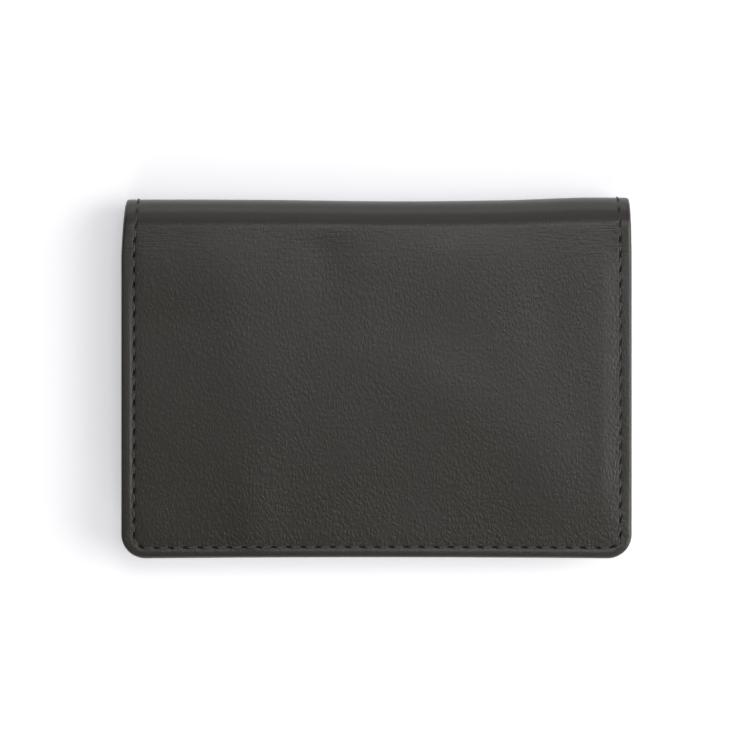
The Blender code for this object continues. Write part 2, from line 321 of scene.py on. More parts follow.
# %% [markdown]
# ## Skins from patches
#
# A sewn cover needs a very fine mesh along its seam and a coarse one in the middle. A subdivided grid
# would be fine everywhere and heavy. So a skin is put together from patches that share their border
# points, and the borders are welded at the end. Between a fine ring and the coarse grid inside it
# lies a comb of many-sided faces.

# %% Gather patches and weld them
class Skin:
    """Patches of points (x, v, depth, slit share) on the open sheet."""

    def __init__(self):
        self.points = []
        self.faces = []
        self.count = 0

    def add(self, points):
        """Take in an array of points, and return their numbers in the same layout."""
        flat = points.reshape(-1, 4)
        self.points.append(flat)
        self.count += len(flat)
        return np.arange(self.count - len(flat), self.count).reshape(points.shape[:-1])

    def patch(self, points):
        """Four-sided faces over rows and columns of points."""
        n = self.add(points)
        quads = np.stack([n[:-1, :-1], n[1:, :-1], n[1:, 1:], n[:-1, 1:]], axis=-1)
        self.faces.extend(quads.reshape(-1, 4).tolist())

    def face(self, points):
        """One face with as many corners as there are points."""
        self.faces.append(self.add(points).tolist())


# %% Fill a fine ring with a coarse grid
COMB_WIDTH = 1.15


def fill_inside(skin, ring, kept, surface):
    """Close a fine ring of points with a comb and a coarse grid on the ring's kept lines."""
    low = ring[:, :2].min(axis=0) + COMB_WIDTH
    high = ring[:, :2].max(axis=0) - COMB_WIDTH
    inner = np.round(np.clip(ring[kept, :2], low, high), 6)
    inner_points = surface(inner)
    marks = np.flatnonzero(kept)
    for i, start in enumerate(marks):
        stop = marks[(i + 1) % len(marks)]
        fine = np.arange(start, stop + 1 if stop > start else stop + 1 + len(ring)) % len(ring)
        inside = inner_points[[(i + 1) % len(marks), i]]
        skin.face(np.concatenate([ring[fine], inside]))
    xs, vs = np.unique(inner[:, 0]), np.unique(inner[:, 1])
    skin.patch(surface(np.stack(np.meshgrid(xs, vs), axis=-1)))
    return xs


# %% Turn points and faces into a finished piece
WELD = 0.0003 * MM
TINY = 1e-7
SHARP = math.radians(58)


def finished_mesh(name, places, faces, sheet, slits, weld=True):
    """A mesh in metres that remembers where each point lay on the open sheet."""
    mesh = bpy.data.meshes.new(name)
    mesh.from_pydata((places * MM).tolist(), [], faces)
    on_sheet = mesh.attributes.new("sheet", "FLOAT_VECTOR", "POINT")
    on_sheet.data.foreach_set("vector", sheet.astype(np.float32).ravel())
    in_slit = mesh.attributes.new("slit", "FLOAT", "POINT")
    in_slit.data.foreach_set("value", slits.astype(np.float32))
    if weld:
        bm = bmesh.new()
        bm.from_mesh(mesh)
        bmesh.ops.remove_doubles(bm, verts=bm.verts, dist=WELD)
        bmesh.ops.recalc_face_normals(bm, faces=bm.faces)
        bm.to_mesh(mesh)
        bm.free()
    mesh.shade_smooth()
    mesh.set_sharp_from_angle(angle=SHARP)
    return mesh


# %% Put a finished piece in the scene
def add_piece(name, mesh, finish, stands_for=()):
    """Put a mesh in the scene with its material and the solids it stands for."""
    mesh.materials.append(finish)
    piece = bpy.data.objects.new(name, mesh)
    bpy.context.scene.collection.objects.link(piece)
    if stands_for:
        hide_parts(*stands_for)
    return piece


def skin_piece(name, skin, finish, stands_for, part=None):
    """A piece from a skin. part, where given, is the stretch of v that belongs to this piece."""
    points = np.concatenate(skin.points)
    faces = skin.faces
    if part:
        faces = [f for f in faces if part[0] - TINY < np.mean(points[f, 1]) < part[1] + TINY]
        used = np.unique(np.concatenate([np.array(f) for f in faces]))
        number = np.zeros(len(points), int)
        number[used] = np.arange(len(used))
        points = points[used]
        faces = [number[f].tolist() for f in faces]
    places = settle(wrap(points[:, :3]))
    mesh = finished_mesh(name, places, faces, points[:, :3], points[:, 3])
    loose = sum(1 for count in edge_uses(mesh) if count != 2)
    print(f"{name}: {len(mesh.polygons)} faces, {loose} edges not shared by two")
    return add_piece(name, mesh, finish, stands_for)


def edge_uses(mesh):
    """How many faces use each edge."""
    edges = np.zeros(len(mesh.loops), int)
    mesh.loops.foreach_get("edge_index", edges)
    return np.bincount(edges, minlength=len(mesh.edges))


# %% [markdown]
# ## Shader arithmetic
#
# A leather finish is a few textures added and multiplied. Written node by node that is hard to read,
# so one small class stands for a node's output: arithmetic on it adds Math nodes, and `node` puts in
# any other node.

# %% A node's output that can be added and multiplied
class Wire:
    """An output of a shader node in a tree."""

    def __init__(self, tree, socket=None):
        self.tree = tree
        self.socket = socket

    def node(self, kind, settings=None, inputs=None, out=0):
        """Add a node: its type, its settings, then the values or wires of its sockets."""
        made = self.tree.nodes.new(kind)
        for key, value in (settings or {}).items():
            setattr(made, key, value)
        for key, value in (inputs or {}).items():
            if isinstance(value, Wire):
                self.tree.links.new(value.socket, made.inputs[key])
            else:
                made.inputs[key].default_value = value
        return Wire(self.tree, made.outputs[out]) if made.outputs else None

    def output(self, out):
        """Another output of the same node."""
        return Wire(self.tree, self.socket.node.outputs[out])

    def math(self, operation, *values):
        """A Math node on wires or plain numbers."""
        return self.node("ShaderNodeMath", {"operation": operation}, dict(enumerate(values)))

    def __add__(self, other):
        return self.math("ADD", self, other)

    def __radd__(self, other):
        return self.math("ADD", other, self)

    def __sub__(self, other):
        return self.math("SUBTRACT", self, other)

    def __rsub__(self, other):
        return self.math("SUBTRACT", other, self)

    def __mul__(self, other):
        return self.math("MULTIPLY", self, other)

    def __rmul__(self, other):
        return self.math("MULTIPLY", other, self)


def new_finish(name):
    """A new material, and a wire to build its nodes from."""
    material = bpy.data.materials.new(name)
    material.use_nodes = True
    material.node_tree.nodes.clear()
    return material, Wire(material.node_tree)


# %% Two nodes that every finish needs
def mix_colour(wire, factor, a, b):
    """A colour between a and b."""
    return wire.node("ShaderNodeMix", {"data_type": "RGBA"}, {0: factor, 6: a, 7: b}, out=2)


def principled(wire, inputs):
    """The surface shader: plain numbers where the surface is even, wires where it varies."""
    shader = wire.node("ShaderNodeBsdfPrincipled", None, inputs)
    wire.node("ShaderNodeOutputMaterial", None, {"Surface": shader})


# %% [markdown]
# ## The leathers
#
# The outside is a fine, soft nappa with a satin sheen. Its grain is small and drawn out along the hide:
# mostly uneven pores and hairs, with some flat pebbles and shallow creases. A photograph of leather
# would do as a texture, but it repeats and can't be resized freely. So the grain is fine noise, and a
# share of it is a cell texture, bent by noise so that no row of cells shows. It is placed by the
# points' own places on the open sheet, so it runs unbroken over the fold and stays put when the case
# opens. Its height is in millimetres, the way a hide would be measured.

# %% Textures on the open sheet
NOISE_MIDDLE = (0.5, 0.5, 0.5)


def sheet_places(wire):
    """The points' places on the open sheet, in millimetres."""
    return wire.node("ShaderNodeAttribute", {"attribute_name": "sheet"}, out="Vector")


def stretched(wire, places, size):
    """Places divided by the size of one grain across and along the hide."""
    scale = (1 / size[0], 1 / size[1], 1 / size[0])
    return wire.node("ShaderNodeVectorMath", {"operation": "MULTIPLY"}, {0: places, 1: scale})


def noise_of(wire, places, scale, detail=2.0, out="Fac"):
    """Soft noise from 0 to 1. detail adds finer noise on top."""
    inputs = {"Vector": places, "Scale": scale, "Detail": detail, "Roughness": 0.5}
    return wire.node("ShaderNodeTexNoise", {"noise_dimensions": "3D"}, inputs, out=out)


def bent(wire, places, amount, scale):
    """Places pushed about by noise, so that a regular pattern loses its rows."""
    push = noise_of(wire, places, scale, out="Color")
    push = wire.node("ShaderNodeVectorMath", {"operation": "SUBTRACT"}, {0: push, 1: NOISE_MIDDLE})
    push = wire.node("ShaderNodeVectorMath", {"operation": "SCALE"}, {0: push, "Scale": amount})
    return wire.node("ShaderNodeVectorMath", {"operation": "ADD"}, {0: places, 1: push})


def rise(wire, value, low, high):
    """0 where value is low, 1 where it is high, and smooth between."""
    limits = {"Value": value, "From Min": low, "From Max": high}
    return wire.node("ShaderNodeMapRange", {"interpolation_type": "SMOOTHSTEP"}, limits)


# %% Pebbles, and the two directions of the sheet
CREASE_REACH = 0.34
CELL_BEND = 0.9


def pebbled(wire, places, pebble):
    """Small flat pebbles with shallow creases between them, from 0 in a crease to 1."""
    cells = bent(wire, stretched(wire, places, pebble), CELL_BEND, CELL_BEND)
    edge = wire.node("ShaderNodeTexVoronoi", {"feature": "DISTANCE_TO_EDGE"},
                     {"Vector": cells, "Scale": 1.0, "Randomness": 1.0})
    return rise(wire, edge, 0.0, CREASE_REACH)


def across_and_along(wire, places):
    """x across the sheet and v along it, each a wire of its own."""
    x = wire.node("ShaderNodeSeparateXYZ", None, {0: places})
    return x, x.output("Y")


def distance(value):
    """How far a value is from zero, on either side."""
    return value.math("ABSOLUTE", value)


# %% [markdown]
# A hide isn't the same all over. Stretched over the fold it is smooth and a little glossier. Where the
# fold runs into the flat covers, opening and closing has pressed fine wrinkles along it. The grain
# shows most on the right and by the free edge, and it is pressed flat on the sewn rim. Painting
# these differences by hand would tie them to one size of sheet, so they are worked out from the
# distances to the fold, the sides and the ends.

# %% Where the grain shows
WRINKLE_SIZE = (3.5, 0.42)
WRINKLE_STARTS = QUARTER - 2.0
WRINKLE_FADES = QUARTER + 3.0
WRINKLE_MIDDLE = 0.55
FOLD_REACH = QUARTER + 12.0
RIM_WIDE = 2.6


def fold_wrinkles(wire, places):
    """Fine wrinkles along the fold where it runs into the flat covers, strongest by the seams."""
    x, v = across_and_along(wire, places)
    v = distance(v)
    lines = noise_of(wire, stretched(wire, places, WRINKLE_SIZE), 1.0, detail=1.0)
    near = rise(wire, v, WRINKLE_STARTS, QUARTER) * rise(wire, v, FOLD_REACH, WRINKLE_FADES)
    by_seam = rise(wire, distance(x), 28.0, 50.0)
    return lines * near * (WRINKLE_MIDDLE + (1 - WRINKLE_MIDDLE) * by_seam)


def stronger_grain(wire, places):
    """How plain the grain is: most on the right and by the free edge, least by the fold."""
    x, v = across_and_along(wire, places)
    across, v = distance(x), distance(v)

    # Each is a strength times the stretch of the sheet, in millimetres, over which it comes in.
    low = rise(wire, v, 45.0, 75.0)
    middle = 0.26 * rise(wire, x, -45.0, -10.0)
    right = 0.30 * rise(wire, x, 15.0, 45.0) * (1 - 0.8 * low)
    rolled = 0.22 * rise(wire, x, 43.0, 47.5)
    by_side_seam = 0.30 * rise(wire, x, 49.0, 50.8)
    by_end_seam = 0.22 * rise(wire, v, SHEET_HALF - 7.0, SHEET_HALF - 4.5)
    face = 0.46 + middle + right - rolled + by_side_seam + by_end_seam + 0.24 * low
    fold = rise(wire, v, FOLD_REACH, QUARTER + 2.0)
    sides = rise(wire, across, HALF_WIDTH - RIM_WIDE, HALF_WIDTH - 0.6 * RIM_WIDE)
    ends = rise(wire, v, SHEET_HALF - RIM_WIDE, SHEET_HALF - 0.6 * RIM_WIDE)
    rim = wire.math("MAXIMUM", 0.25 * sides, 0.5 * ends)
    return face * (1 - 0.45 * fold) * (1 - rim)


def stretched_smooth(wire, places):
    """1 on the fold, where the leather is stretched smooth, and 0 on the covers."""
    v = across_and_along(wire, places)[1]
    return rise(wire, distance(v), QUARTER, QUARTER - 4.0)


print(f"the fold ends {QUARTER:.1f} mm from its crest, and its wrinkles fade by {FOLD_REACH:.1f} mm")

# %% [markdown]
# A finish is now a short list: how deep the grain is, how dark the dye, how rough the surface. Patches
# of 14 by 18 mm take the dye and the press a little differently. A needle slit is dull inside, and it
# is painted nearly black there: painted shade for the hole. The same function makes the outside, the
# linings and the gusset.

# %% Make the leathers
PATCH_SIZE = (14.0, 18.0)
FINE_SCALE = 1.25
PEBBLE_SHARE = 0.34
PATCH_LEAST = 0.6
PATCH_RANGE = 0.8
WRINKLE_HEIGHT = 0.050
PATCH_TONE = 0.45
FINE_TONE = 0.30
PEBBLE_TONE = 0.25
DARKEST = 0.66
LIGHTEST = 1.34
# Painted shade: the nearly black colour painted inside a needle slit.
SLIT_PAINTED_SHADE = (0.004, 0.004, 0.004, 1.0)
UNEVEN_GLOSS = 0.10
SLIT_DULLER = 0.35
FOLD_GLOSSIER = 0.06
LEATHER_IOR = 1.5


def leather(name, colour, roughness, pebble, grain_height, outside=False):
    """A leather finish. pebble is the grain's size across and along the hide, in millimetres."""
    material, wire = new_finish(name)
    places = sheet_places(wire)
    pebbles = pebbled(wire, places, pebble)
    fine = noise_of(wire, stretched(wire, places, pebble), FINE_SCALE, detail=3.0)
    patchy = noise_of(wire, stretched(wire, places, PATCH_SIZE), 1.0, detail=2.0)
    grain = PEBBLE_SHARE * pebbles + (1 - PEBBLE_SHARE) * fine
    height = grain * (PATCH_LEAST + PATCH_RANGE * patchy) * grain_height
    if outside:
        height = height * stronger_grain(wire, places) + WRINKLE_HEIGHT * fold_wrinkles(wire, places)
    relief = {"Strength": 1.0, "Distance": MM, "Height": height}
    bump = wire.node("ShaderNodeBump", None, relief, out="Normal")
    slits = wire.node("ShaderNodeAttribute", {"attribute_name": "slit"}, out="Fac")
    tone = PATCH_TONE * patchy + FINE_TONE * fine + PEBBLE_TONE * pebbles
    dark, light = ([channel * factor for channel in colour] + [1.0] for factor in (DARKEST, LIGHTEST))
    base_colour = mix_colour(wire, tone, dark, light)
    # Painted shade: the needle slits are painted nearly black.
    base_colour = mix_colour(wire, slits, base_colour, SLIT_PAINTED_SHADE)
    rough = roughness + UNEVEN_GLOSS * (0.5 - fine) + UNEVEN_GLOSS * (0.5 - patchy)
    rough = rough + SLIT_DULLER * slits
    if outside:
        rough = rough - FOLD_GLOSSIER * stretched_smooth(wire, places)
    principled(wire, {"IOR": LEATHER_IOR, "Base Color": base_colour, "Roughness": rough, "Normal": bump})
    return material


OUTER_DYE = (0.0184, 0.0146, 0.0094)
LINING_DYE = (0.026, 0.024, 0.021)
GUSSET_DYE = (0.022, 0.020, 0.018)
OUTER_LEATHER = leather("outer_leather_finish", OUTER_DYE, 0.37, (0.78, 1.25), 0.074, outside=True)
LINING_LEATHER = leather("lining_leather_finish", LINING_DYE, 0.52, (0.50, 0.60), 0.034)
GUSSET_LEATHER = leather("gusset_leather_finish", GUSSET_DYE, 0.56, (0.50, 0.75), 0.032)
print("leathers:", OUTER_LEATHER.name, LINING_LEATHER.name, GUSSET_LEATHER.name)

# %% [markdown]
# ## Thread and board
#
# The thread is a bonded black one: nearly matte, with a faint gloss on the top of each strand. Its
# strands are modelled, so the finish only needs a little unevenness. The boards inside the covers
# are plain grey pasteboard with pressed fibres. They hardly ever show, but they are real pieces.

# %% Thread and board finishes
THREAD_FIBRE = (0.12, 0.12)
THREAD_DARK = (0.020, 0.019, 0.018, 1.0)
THREAD_LIGHT = (0.040, 0.038, 0.036, 1.0)
BOARD_FIBRES_PER_METRE = (900.0, 2600.0, 2600.0)
BOARD_DARK = (0.20, 0.165, 0.12, 1.0)
BOARD_LIGHT = (0.42, 0.36, 0.275, 1.0)
BOARD_FIBRE_HEIGHT = 0.04 * MM


def thread_finish():
    """Bonded black thread, a little uneven."""
    material, wire = new_finish("sewing_thread_finish")
    places = stretched(wire, sheet_places(wire), THREAD_FIBRE)
    fibre = noise_of(wire, places, 1.0, detail=2.0)
    base_colour = mix_colour(wire, fibre, THREAD_DARK, THREAD_LIGHT)
    principled(wire, {"IOR": 1.5, "Base Color": base_colour, "Roughness": 0.42 + 0.16 * fibre})
    return material


def board_finish():
    """Grey pasteboard with its fibres pressed flat, longer across the case than along it."""
    material, wire = new_finish("stiffener_board_finish")
    where = wire.node("ShaderNodeTexCoord", out="Object")
    scaling = {0: where, 1: BOARD_FIBRES_PER_METRE}
    places = wire.node("ShaderNodeVectorMath", {"operation": "MULTIPLY"}, scaling)
    fibre = noise_of(wire, places, 1.0, detail=4.0)
    speck = noise_of(wire, places, 0.22, detail=1.0)
    grey = mix_colour(wire, 0.6 * fibre + 0.4 * speck, BOARD_DARK, BOARD_LIGHT)
    relief = {"Strength": 0.6, "Distance": BOARD_FIBRE_HEIGHT, "Height": fibre}
    bump = wire.node("ShaderNodeBump", None, relief, out="Normal")
    matt = 0.85 + 0.1 * fibre
    principled(wire, {"IOR": 1.45, "Base Color": grey, "Roughness": matt, "Normal": bump})
    return material


THREAD = thread_finish()
BOARD = board_finish()
for node in ("back_stiffener", "front_stiffener"):
    frame["nodes"][node].material_slots[0].material = BOARD
print("thread and board:", THREAD.name, BOARD.name)

# %% [markdown]
# ## The outer leather
#
# The sheet's edge is folded over a board and glued, and then sewn. From the face outward its section
# is: the flat face, a slight dip to the seam, a rim, the round turned edge, and the turned part that
# shows on the inside as a narrow bead. The face has sunk a little inside the seam. The rim has kept
# its height on the left, and it has gone down with the face on the right. That difference puts the
# bright line beside the left seam and the soft roll beside the right one. A bevel on the solid would
# round the edge the same way everywhere, so the section is worked out point by point instead, with
# values of its own for each side.
#
# The face itself is never quite flat. The leather has stretched, and it lies in long, low swells and
# hollows one or two tenths of a millimetre high, with smaller waves over them. On black leather they
# show only as slow changes of tone, but without them the cover looks like plastic. The swells are
# listed one by one, each with its own turn, and noise adds the small waves.

# %% The dip beside the seam, and the rim
RIM_DROP = 0.03
RIM_SHARE_LEFT = 0.05
RIM_SHARE_RIGHT = 0.91
RIM_SHARE_ENDS = 0.40
RIM_STARTS = 0.28
RIM_ENDS = 1.02
SEAM_DROP = 0.025
FACE_SIDE = 2.2
FOLD_PULL = 0.45
PULL_STARTS_BEFORE = 1.0
PULL_OVER = 5.0


def pull(v):
    """How hard the seam pulls at v: over the fold the leather is stretched and gives less."""
    past = np.abs(v) - QUARTER + PULL_STARTS_BEFORE
    return FOLD_PULL + (1 - FOLD_PULL) * smooth(past / PULL_OVER)


def face_share(t):
    """1 on the face and at the seam, falling to 0 on top of the rim. t is plus towards the face."""
    return 1 - smooth((-t - RIM_STARTS) / (RIM_ENDS - RIM_STARTS))


def hollow(t):
    """What the seam adds to the depth at t: a gentle dip on the face's side, little on the rim."""
    return SEAM_DROP * (1 - smooth(t / FACE_SIDE)) * face_share(t) + RIM_DROP * (1 - face_share(t))


print(f"depth at the seam {hollow(0.0):.3f} mm, on the rim {hollow(-RIM_ENDS):.3f} mm")

# %% The face's own relief
FACE_SINK = 0.13
SINK_FROM = 0.8 * QUARTER
SINK_OVER = 24.0
SWELL_OVER = 7.0
BACK_SHARE = 0.4
MOST_LIFT = 0.2
RIGHT_ROLL = 0.36
RIGHT_ROLL_FROM = 47.0
RIGHT_ROLL_OVER = 4.8
RIGHT_ROLL_STOPS = 3.0
RIGHT_ROLL_FADES = 15.0

# Height, size across and along, and the noise's own seed.
SMALL_WAVES = (
    (0.020, (17.0, 24.0), 1.7),
    (0.010, (6.0, 9.0), 5.2),
)

# Middle x and y on the front cover, half width, half length, turn in degrees, and height.
SWELLS = (
    (-28.0, 7.0, 8.0, 27.0, 6.0, 0.12),
    (15.0, -3.0, 7.0, 19.0, 64.0, 0.10),
    (-11.0, 25.0, 5.0, 10.0, 0.0, -0.16),
    (-38.0, 22.0, 14.0, 8.0, 0.0, 0.16),
    (20.0, 24.0, 13.0, 13.0, 0.0, 0.16),
    (37.0, 12.0, 5.0, 12.0, 0.0, -0.12),
    (36.0, -20.0, 9.0, 13.0, 0.0, 0.24),
    (-26.0, -29.0, 5.0, 10.0, 0.0, 0.16),
    (8.0, -25.0, 10.0, 10.0, 0.0, -0.08),
    (-48.0, -32.0, 6.0, 6.0, 0.0, 0.12),
)


def waves(x, v, size, seed):
    """Smooth noise of about -1 to 1 over the sheet, with bumps of the given size."""
    flat = zip(np.ravel(x), np.ravel(v))
    size_x, size_v = size
    values = [noise.noise(Vector((a / size_x, b / size_v, seed))) for a, b in flat]
    return np.reshape(values, np.shape(x))


def swells(x, y):
    """Height of the low swells and hollows at places on a cover's face."""
    height = np.zeros(np.shape(x))
    for at_x, at_y, half_width, half_length, turn, high in SWELLS:
        cos, sin = math.cos(math.radians(turn)), math.sin(math.radians(turn))
        across = ((x - at_x) * cos + (y - at_y) * sin) / half_width
        along = ((y - at_y) * cos - (x - at_x) * sin) / half_length
        height = height + high * np.exp(-(across ** 2) - along ** 2)
    return height


def face_relief(x, v):
    """Depth of the unsewn face: it sinks away from the fold, swells, waves, and rolls down to the
    right seam. The back lies on the table, so it is flatter and never stands out."""
    away = np.abs(v)
    y = QUARTER + FOLD_Y - away
    sink = FACE_SINK * smooth((away - SINK_FROM) / SINK_OVER)
    lift = swells(np.where(v < 0, -x, x), y) * np.where(v < 0, BACK_SHARE, 1.0)
    lift = lift * smooth((away - SINK_FROM) / SWELL_OVER)
    roll = RIGHT_ROLL * smooth((x - RIGHT_ROLL_FROM) / RIGHT_ROLL_OVER)
    roll = roll * smooth((away - SINK_FROM) / QUARTER)
    roll = roll * smooth((y - FREE_EDGE_Y - RIGHT_ROLL_STOPS) / RIGHT_ROLL_FADES)
    small = sum(high * (waves(x, v, size, seed) + 1) for high, size, seed in SMALL_WAVES)
    return np.maximum(sink - lift + roll + small, np.where(v < 0, 0.0, -MOST_LIFT))


looked_at = face_relief(np.array([-30.0, 0.0, 30.0]), np.full(3, 40.0))
print("depth at three places of the front cover:", np.round(looked_at, 3))

# %% The section of the sewn edge
ROLL_LEFT = 0.50
ROLL_RIGHT = 1.05
ROLL_ENDS = 0.62
ROLL_FOLD = 0.80
ROLL_FOLD_UNTIL = 0.6
ROLL_POWER = 0.72
ROLL_PLACES = 10
UNDER_WIDTH = 1.28
UNDER_PLACES = 8
BEAD_WIDTH = 1.4
BEAD_DROP = 0.12
LEATHER = 0.8
STITCHED = 0.5
BAND_T = np.concatenate([
    np.linspace(FACE_SIDE, STITCHED, 8)[:-1],
    np.linspace(STITCHED, -STITCHED, 17),
    np.linspace(-STITCHED, -RIM_ENDS, 6)[1:],
])


def widened(parts, rows):
    """Parts of a section side by side, each repeated for all rows."""
    return np.concatenate([np.broadcast_to(part, (rows, part.shape[1])) for part in parts], axis=1)


def outer_band(u):
    """Points across the sewn edge, one row for each distance u along the seam."""
    places, inward, seam = (part[:, None] for part in edge_at(u))
    t = BAND_T[None, :]
    along = from_hole(u)[:, None]
    pulled = pull(places[..., 1])
    off_fold = smooth(np.abs(places[..., 1]) / QUARTER - ROLL_FOLD_UNTIL)
    roll = by_side(places, inward, ROLL_LEFT, ROLL_RIGHT, ROLL_ENDS)
    roll = ROLL_FOLD + (roll - ROLL_FOLD) * off_fold
    turn = np.linspace(0, math.pi / 2, ROLL_PLACES)[None, :]
    middle = COVER / 2
    rolled = roll * (1 - np.sin(turn) ** ROLL_POWER)
    lowered = middle - (middle - pulled * RIM_DROP) * np.cos(turn) ** ROLL_POWER
    flat = widened([seam + t, (seam - RIM_ENDS + roll) / 2, rolled], len(u))
    depth = widened([pulled * (hollow(t) + drawn_in(t, along)), pulled * RIM_DROP, lowered], len(u))

    at = places + flat[..., None] * inward
    rim_share = by_side(places, inward, RIM_SHARE_LEFT, RIM_SHARE_RIGHT, RIM_SHARE_ENDS)
    weight = rim_share + (1 - rim_share) * face_share(flat - seam)
    weight = weight * np.clip((middle - depth) / middle, 0, 1)
    depth = depth + weight * face_relief(at[..., 0], at[..., 1])

    under = np.linspace(0, math.pi / 2, UNDER_PLACES)[None, 1:]
    bead_flat = np.array([[BEAD_WIDTH, BEAD_WIDTH]])
    bead_depth = np.array([[COVER - BEAD_DROP, LEATHER]])
    flat = widened([flat, UNDER_WIDTH * (1 - np.cos(under)), bead_flat], len(u))
    depth = widened([depth, middle + (COVER - middle) * np.sin(under), bead_depth], len(u))
    unslit = np.zeros((len(u), flat.shape[1] - t.shape[1]))
    slits = np.concatenate([pulled * slit(t, along), unslit], axis=1)
    at = places + flat[..., None] * inward
    return np.concatenate([at, depth[..., None], slits[..., None]], axis=-1)


print(outer_band(np.array([0.0])).shape[1], "points from the face round the edge to the inside")

# %% [markdown]
# Every row of the edge band lies at its own distance along the seam. Over the fold the rows are even
# steps of the bend, so that the sheet can be parted there cleanly: the case opens along three hinge
# lines, and each third of the fold has to bend between its own two bodies. A very thin row on either
# side of a parting gives both sides the same shading.

# %% Rows along the sheet
FOLD_STEPS = 51
PARTING_V = QUARTER / 3
GUARD = 0.012
ROWS_PER_STITCH = 16
COARSE_EVERY = 4


def quarter_rows():
    """Distances along the seam for a quarter of the sheet, and which of them the coarse grid keeps."""
    bend = np.linspace(0, QUARTER, FOLD_STEPS + 1)
    bend = np.sort(np.concatenate([bend, [PARTING_V - GUARD, PARTING_V + GUARD]]))
    side_end = SHEET_HALF - CORNER_RADIUS
    corner_end = side_end + (CORNER_RADIUS - NOMINAL_SEAM) * math.pi / 2
    rows, kept = [bend], [np.ones(len(bend), bool)]
    for start, stop in ((QUARTER, side_end), (side_end, corner_end), (corner_end, QUARTER_SEAM)):
        steps = COARSE_EVERY * max(round((stop - start) / PITCH * ROWS_PER_STITCH / COARSE_EVERY), 1)
        rows.append(np.linspace(start, stop, steps + 1)[1:])
        kept.append(np.arange(1, steps + 1) % COARSE_EVERY == 0)
    return np.concatenate(rows), np.concatenate(kept)


def all_rows():
    """The four quarters' rows, once round the sheet."""
    u, kept = quarter_rows()
    back_u = np.concatenate([u, 2 * QUARTER_SEAM - u[-2::-1]])
    back_kept = np.concatenate([kept, kept[-2::-1]])
    loop = np.concatenate([back_u, 2 * QUARTER_SEAM + back_u[1:-1]])
    return loop, np.concatenate([back_kept, back_kept[1:-1]])


row_u, row_kept = all_rows()
print(len(row_u), "rows round the sheet,", int(row_kept.sum()), "of them carried on inside")

# %% Close the inner side of the sheet
CLOSING_STEP = 0.35
NEARLY = 1e-6


def inner_side(skin, last_ring):
    """The sheet's inner face, under the boards: one face for each cover and strips over the fold."""
    count = len(last_ring)
    half = count // 2
    v = last_ring[:, 1]
    for i in range(half):
        j, mirror_i, mirror_j = i + 1, (half - i) % count, (half - i - 1) % count
        if -QUARTER - NEARLY < v[j] and i < half // 2:
            skin.face(last_ring[[i, j, mirror_j, mirror_i]])
    for i in range(half, count):
        j, mirror_i, mirror_j = (i + 1) % count, (3 * half - i) % count, (3 * half - i - 1) % count
        if i >= half + half // 2 and v[i] < QUARTER + NEARLY:
            skin.face(last_ring[[i, j, mirror_j, mirror_i]])
    for cover in (-1, 1):
        skin.face(last_ring[cover * v > QUARTER - NEARLY])


def close_parting(skin, left, right, across):
    """Close the sheet where it is parted, from its left edge to its right one. Most of it is one
    many-sided face. Just under the outside it is a row of small ones, because the big face alone
    is cut into long triangles, which show there as a dark line."""
    below = across + np.array([0.0, 0.0, CLOSING_STEP, 0.0])
    skin.face(np.stack([left[0], across[0], below[0]]))
    for i in range(len(across) - 1):
        skin.face(np.stack([across[i], across[i + 1], below[i + 1], below[i]]))
    skin.face(np.stack([across[-1], right[0], below[-1]]))
    skin.face(np.concatenate([left[::-1], below, right]))


def outer_skin():
    """The whole outer leather, with a closing face across each parting."""
    skin = Skin()
    band = outer_band(row_u)
    skin.patch(np.concatenate([band, band[:1]]))

    def surface(flat):
        """The unsewn face at places (x, v)."""
        depth = face_relief(flat[..., 0], flat[..., 1])
        return np.concatenate([flat, depth[..., None], np.zeros_like(depth)[..., None]], axis=-1)

    xs = fill_inside(skin, band[:, 0], row_kept, surface)
    inner_side(skin, band[:, -1])
    for v in (-PARTING_V, PARTING_V):
        left, right = sorted(band[np.isclose(band[:, 0, 1], v)], key=lambda row: row[0, 0])
        across = surface(np.stack([xs, np.full_like(xs, left[0, 1])], axis=-1))
        close_parting(skin, left, right, across)
    return skin


sheet_skin = outer_skin()
print(sheet_skin.count, "points gathered for the outer leather")

# %% [markdown]
# The sheet is parted at a third and two thirds of the fold, with a closing face on each side of the
# parting, so that each part is a whole piece of leather. Each part's place is baked into its mesh.

# Name, stretch of v that belongs to the part, its two bodies, and the stretch of v that bends.
PARTS = (
    ("back", (-SHEET_HALF - 1, -PARTING_V), ("back_half", "spine_lower"), (-QUARTER, -PARTING_V)),
    ("fold", (-PARTING_V, PARTING_V), ("spine_lower", "spine_upper"), (-PARTING_V, PARTING_V)),
    ("front", (PARTING_V, SHEET_HALF + 1), ("spine_upper", "front_half"), (PARTING_V, QUARTER)),
)


def bend_between(piece):
    """Bake a piece's place into its mesh."""
    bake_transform(piece)


OUTER_NODES = {
    "back": ("back_cover",),
    "fold": ("spine_leather_lower", "spine_leather_upper"),
    "front": ("front_cover",),
}
for name, part, bodies, stretch in PARTS:
    title, nodes = f"outer_leather_{name}", OUTER_NODES[name]
    piece = skin_piece(title, sheet_skin, OUTER_LEATHER, nodes, part)
    bend_between(piece)

# %% [markdown]
# ## The stitches
#
# Each stitch is a short length of three-strand thread. It rises out of one slit, lies half sunk in the
# leather at a slight slant and dives into the next slit. Where the seam crosses the crest of the fold
# the thread can't sink, and it stands out a little. A texture on a flat ribbon would lose this from
# the side and in the slits, so the strands are modelled: the thread's round section has three lobes,
# and the lobes turn along the thread.

# %% One thread between two slits
THREAD_RADIUS = 0.19
THREAD_STANDS = -0.09
STRANDS = 3
LOBE = 0.14
LAY = 1.15
THREAD_SIDES = 9
THREAD_RINGS = 15
DIVE_DEPTH = 0.46
DIVE_SHARE = 0.17
STITCH_END = 0.44
STITCH_SLANT = 0.10
CREST_STANDS = 0.26


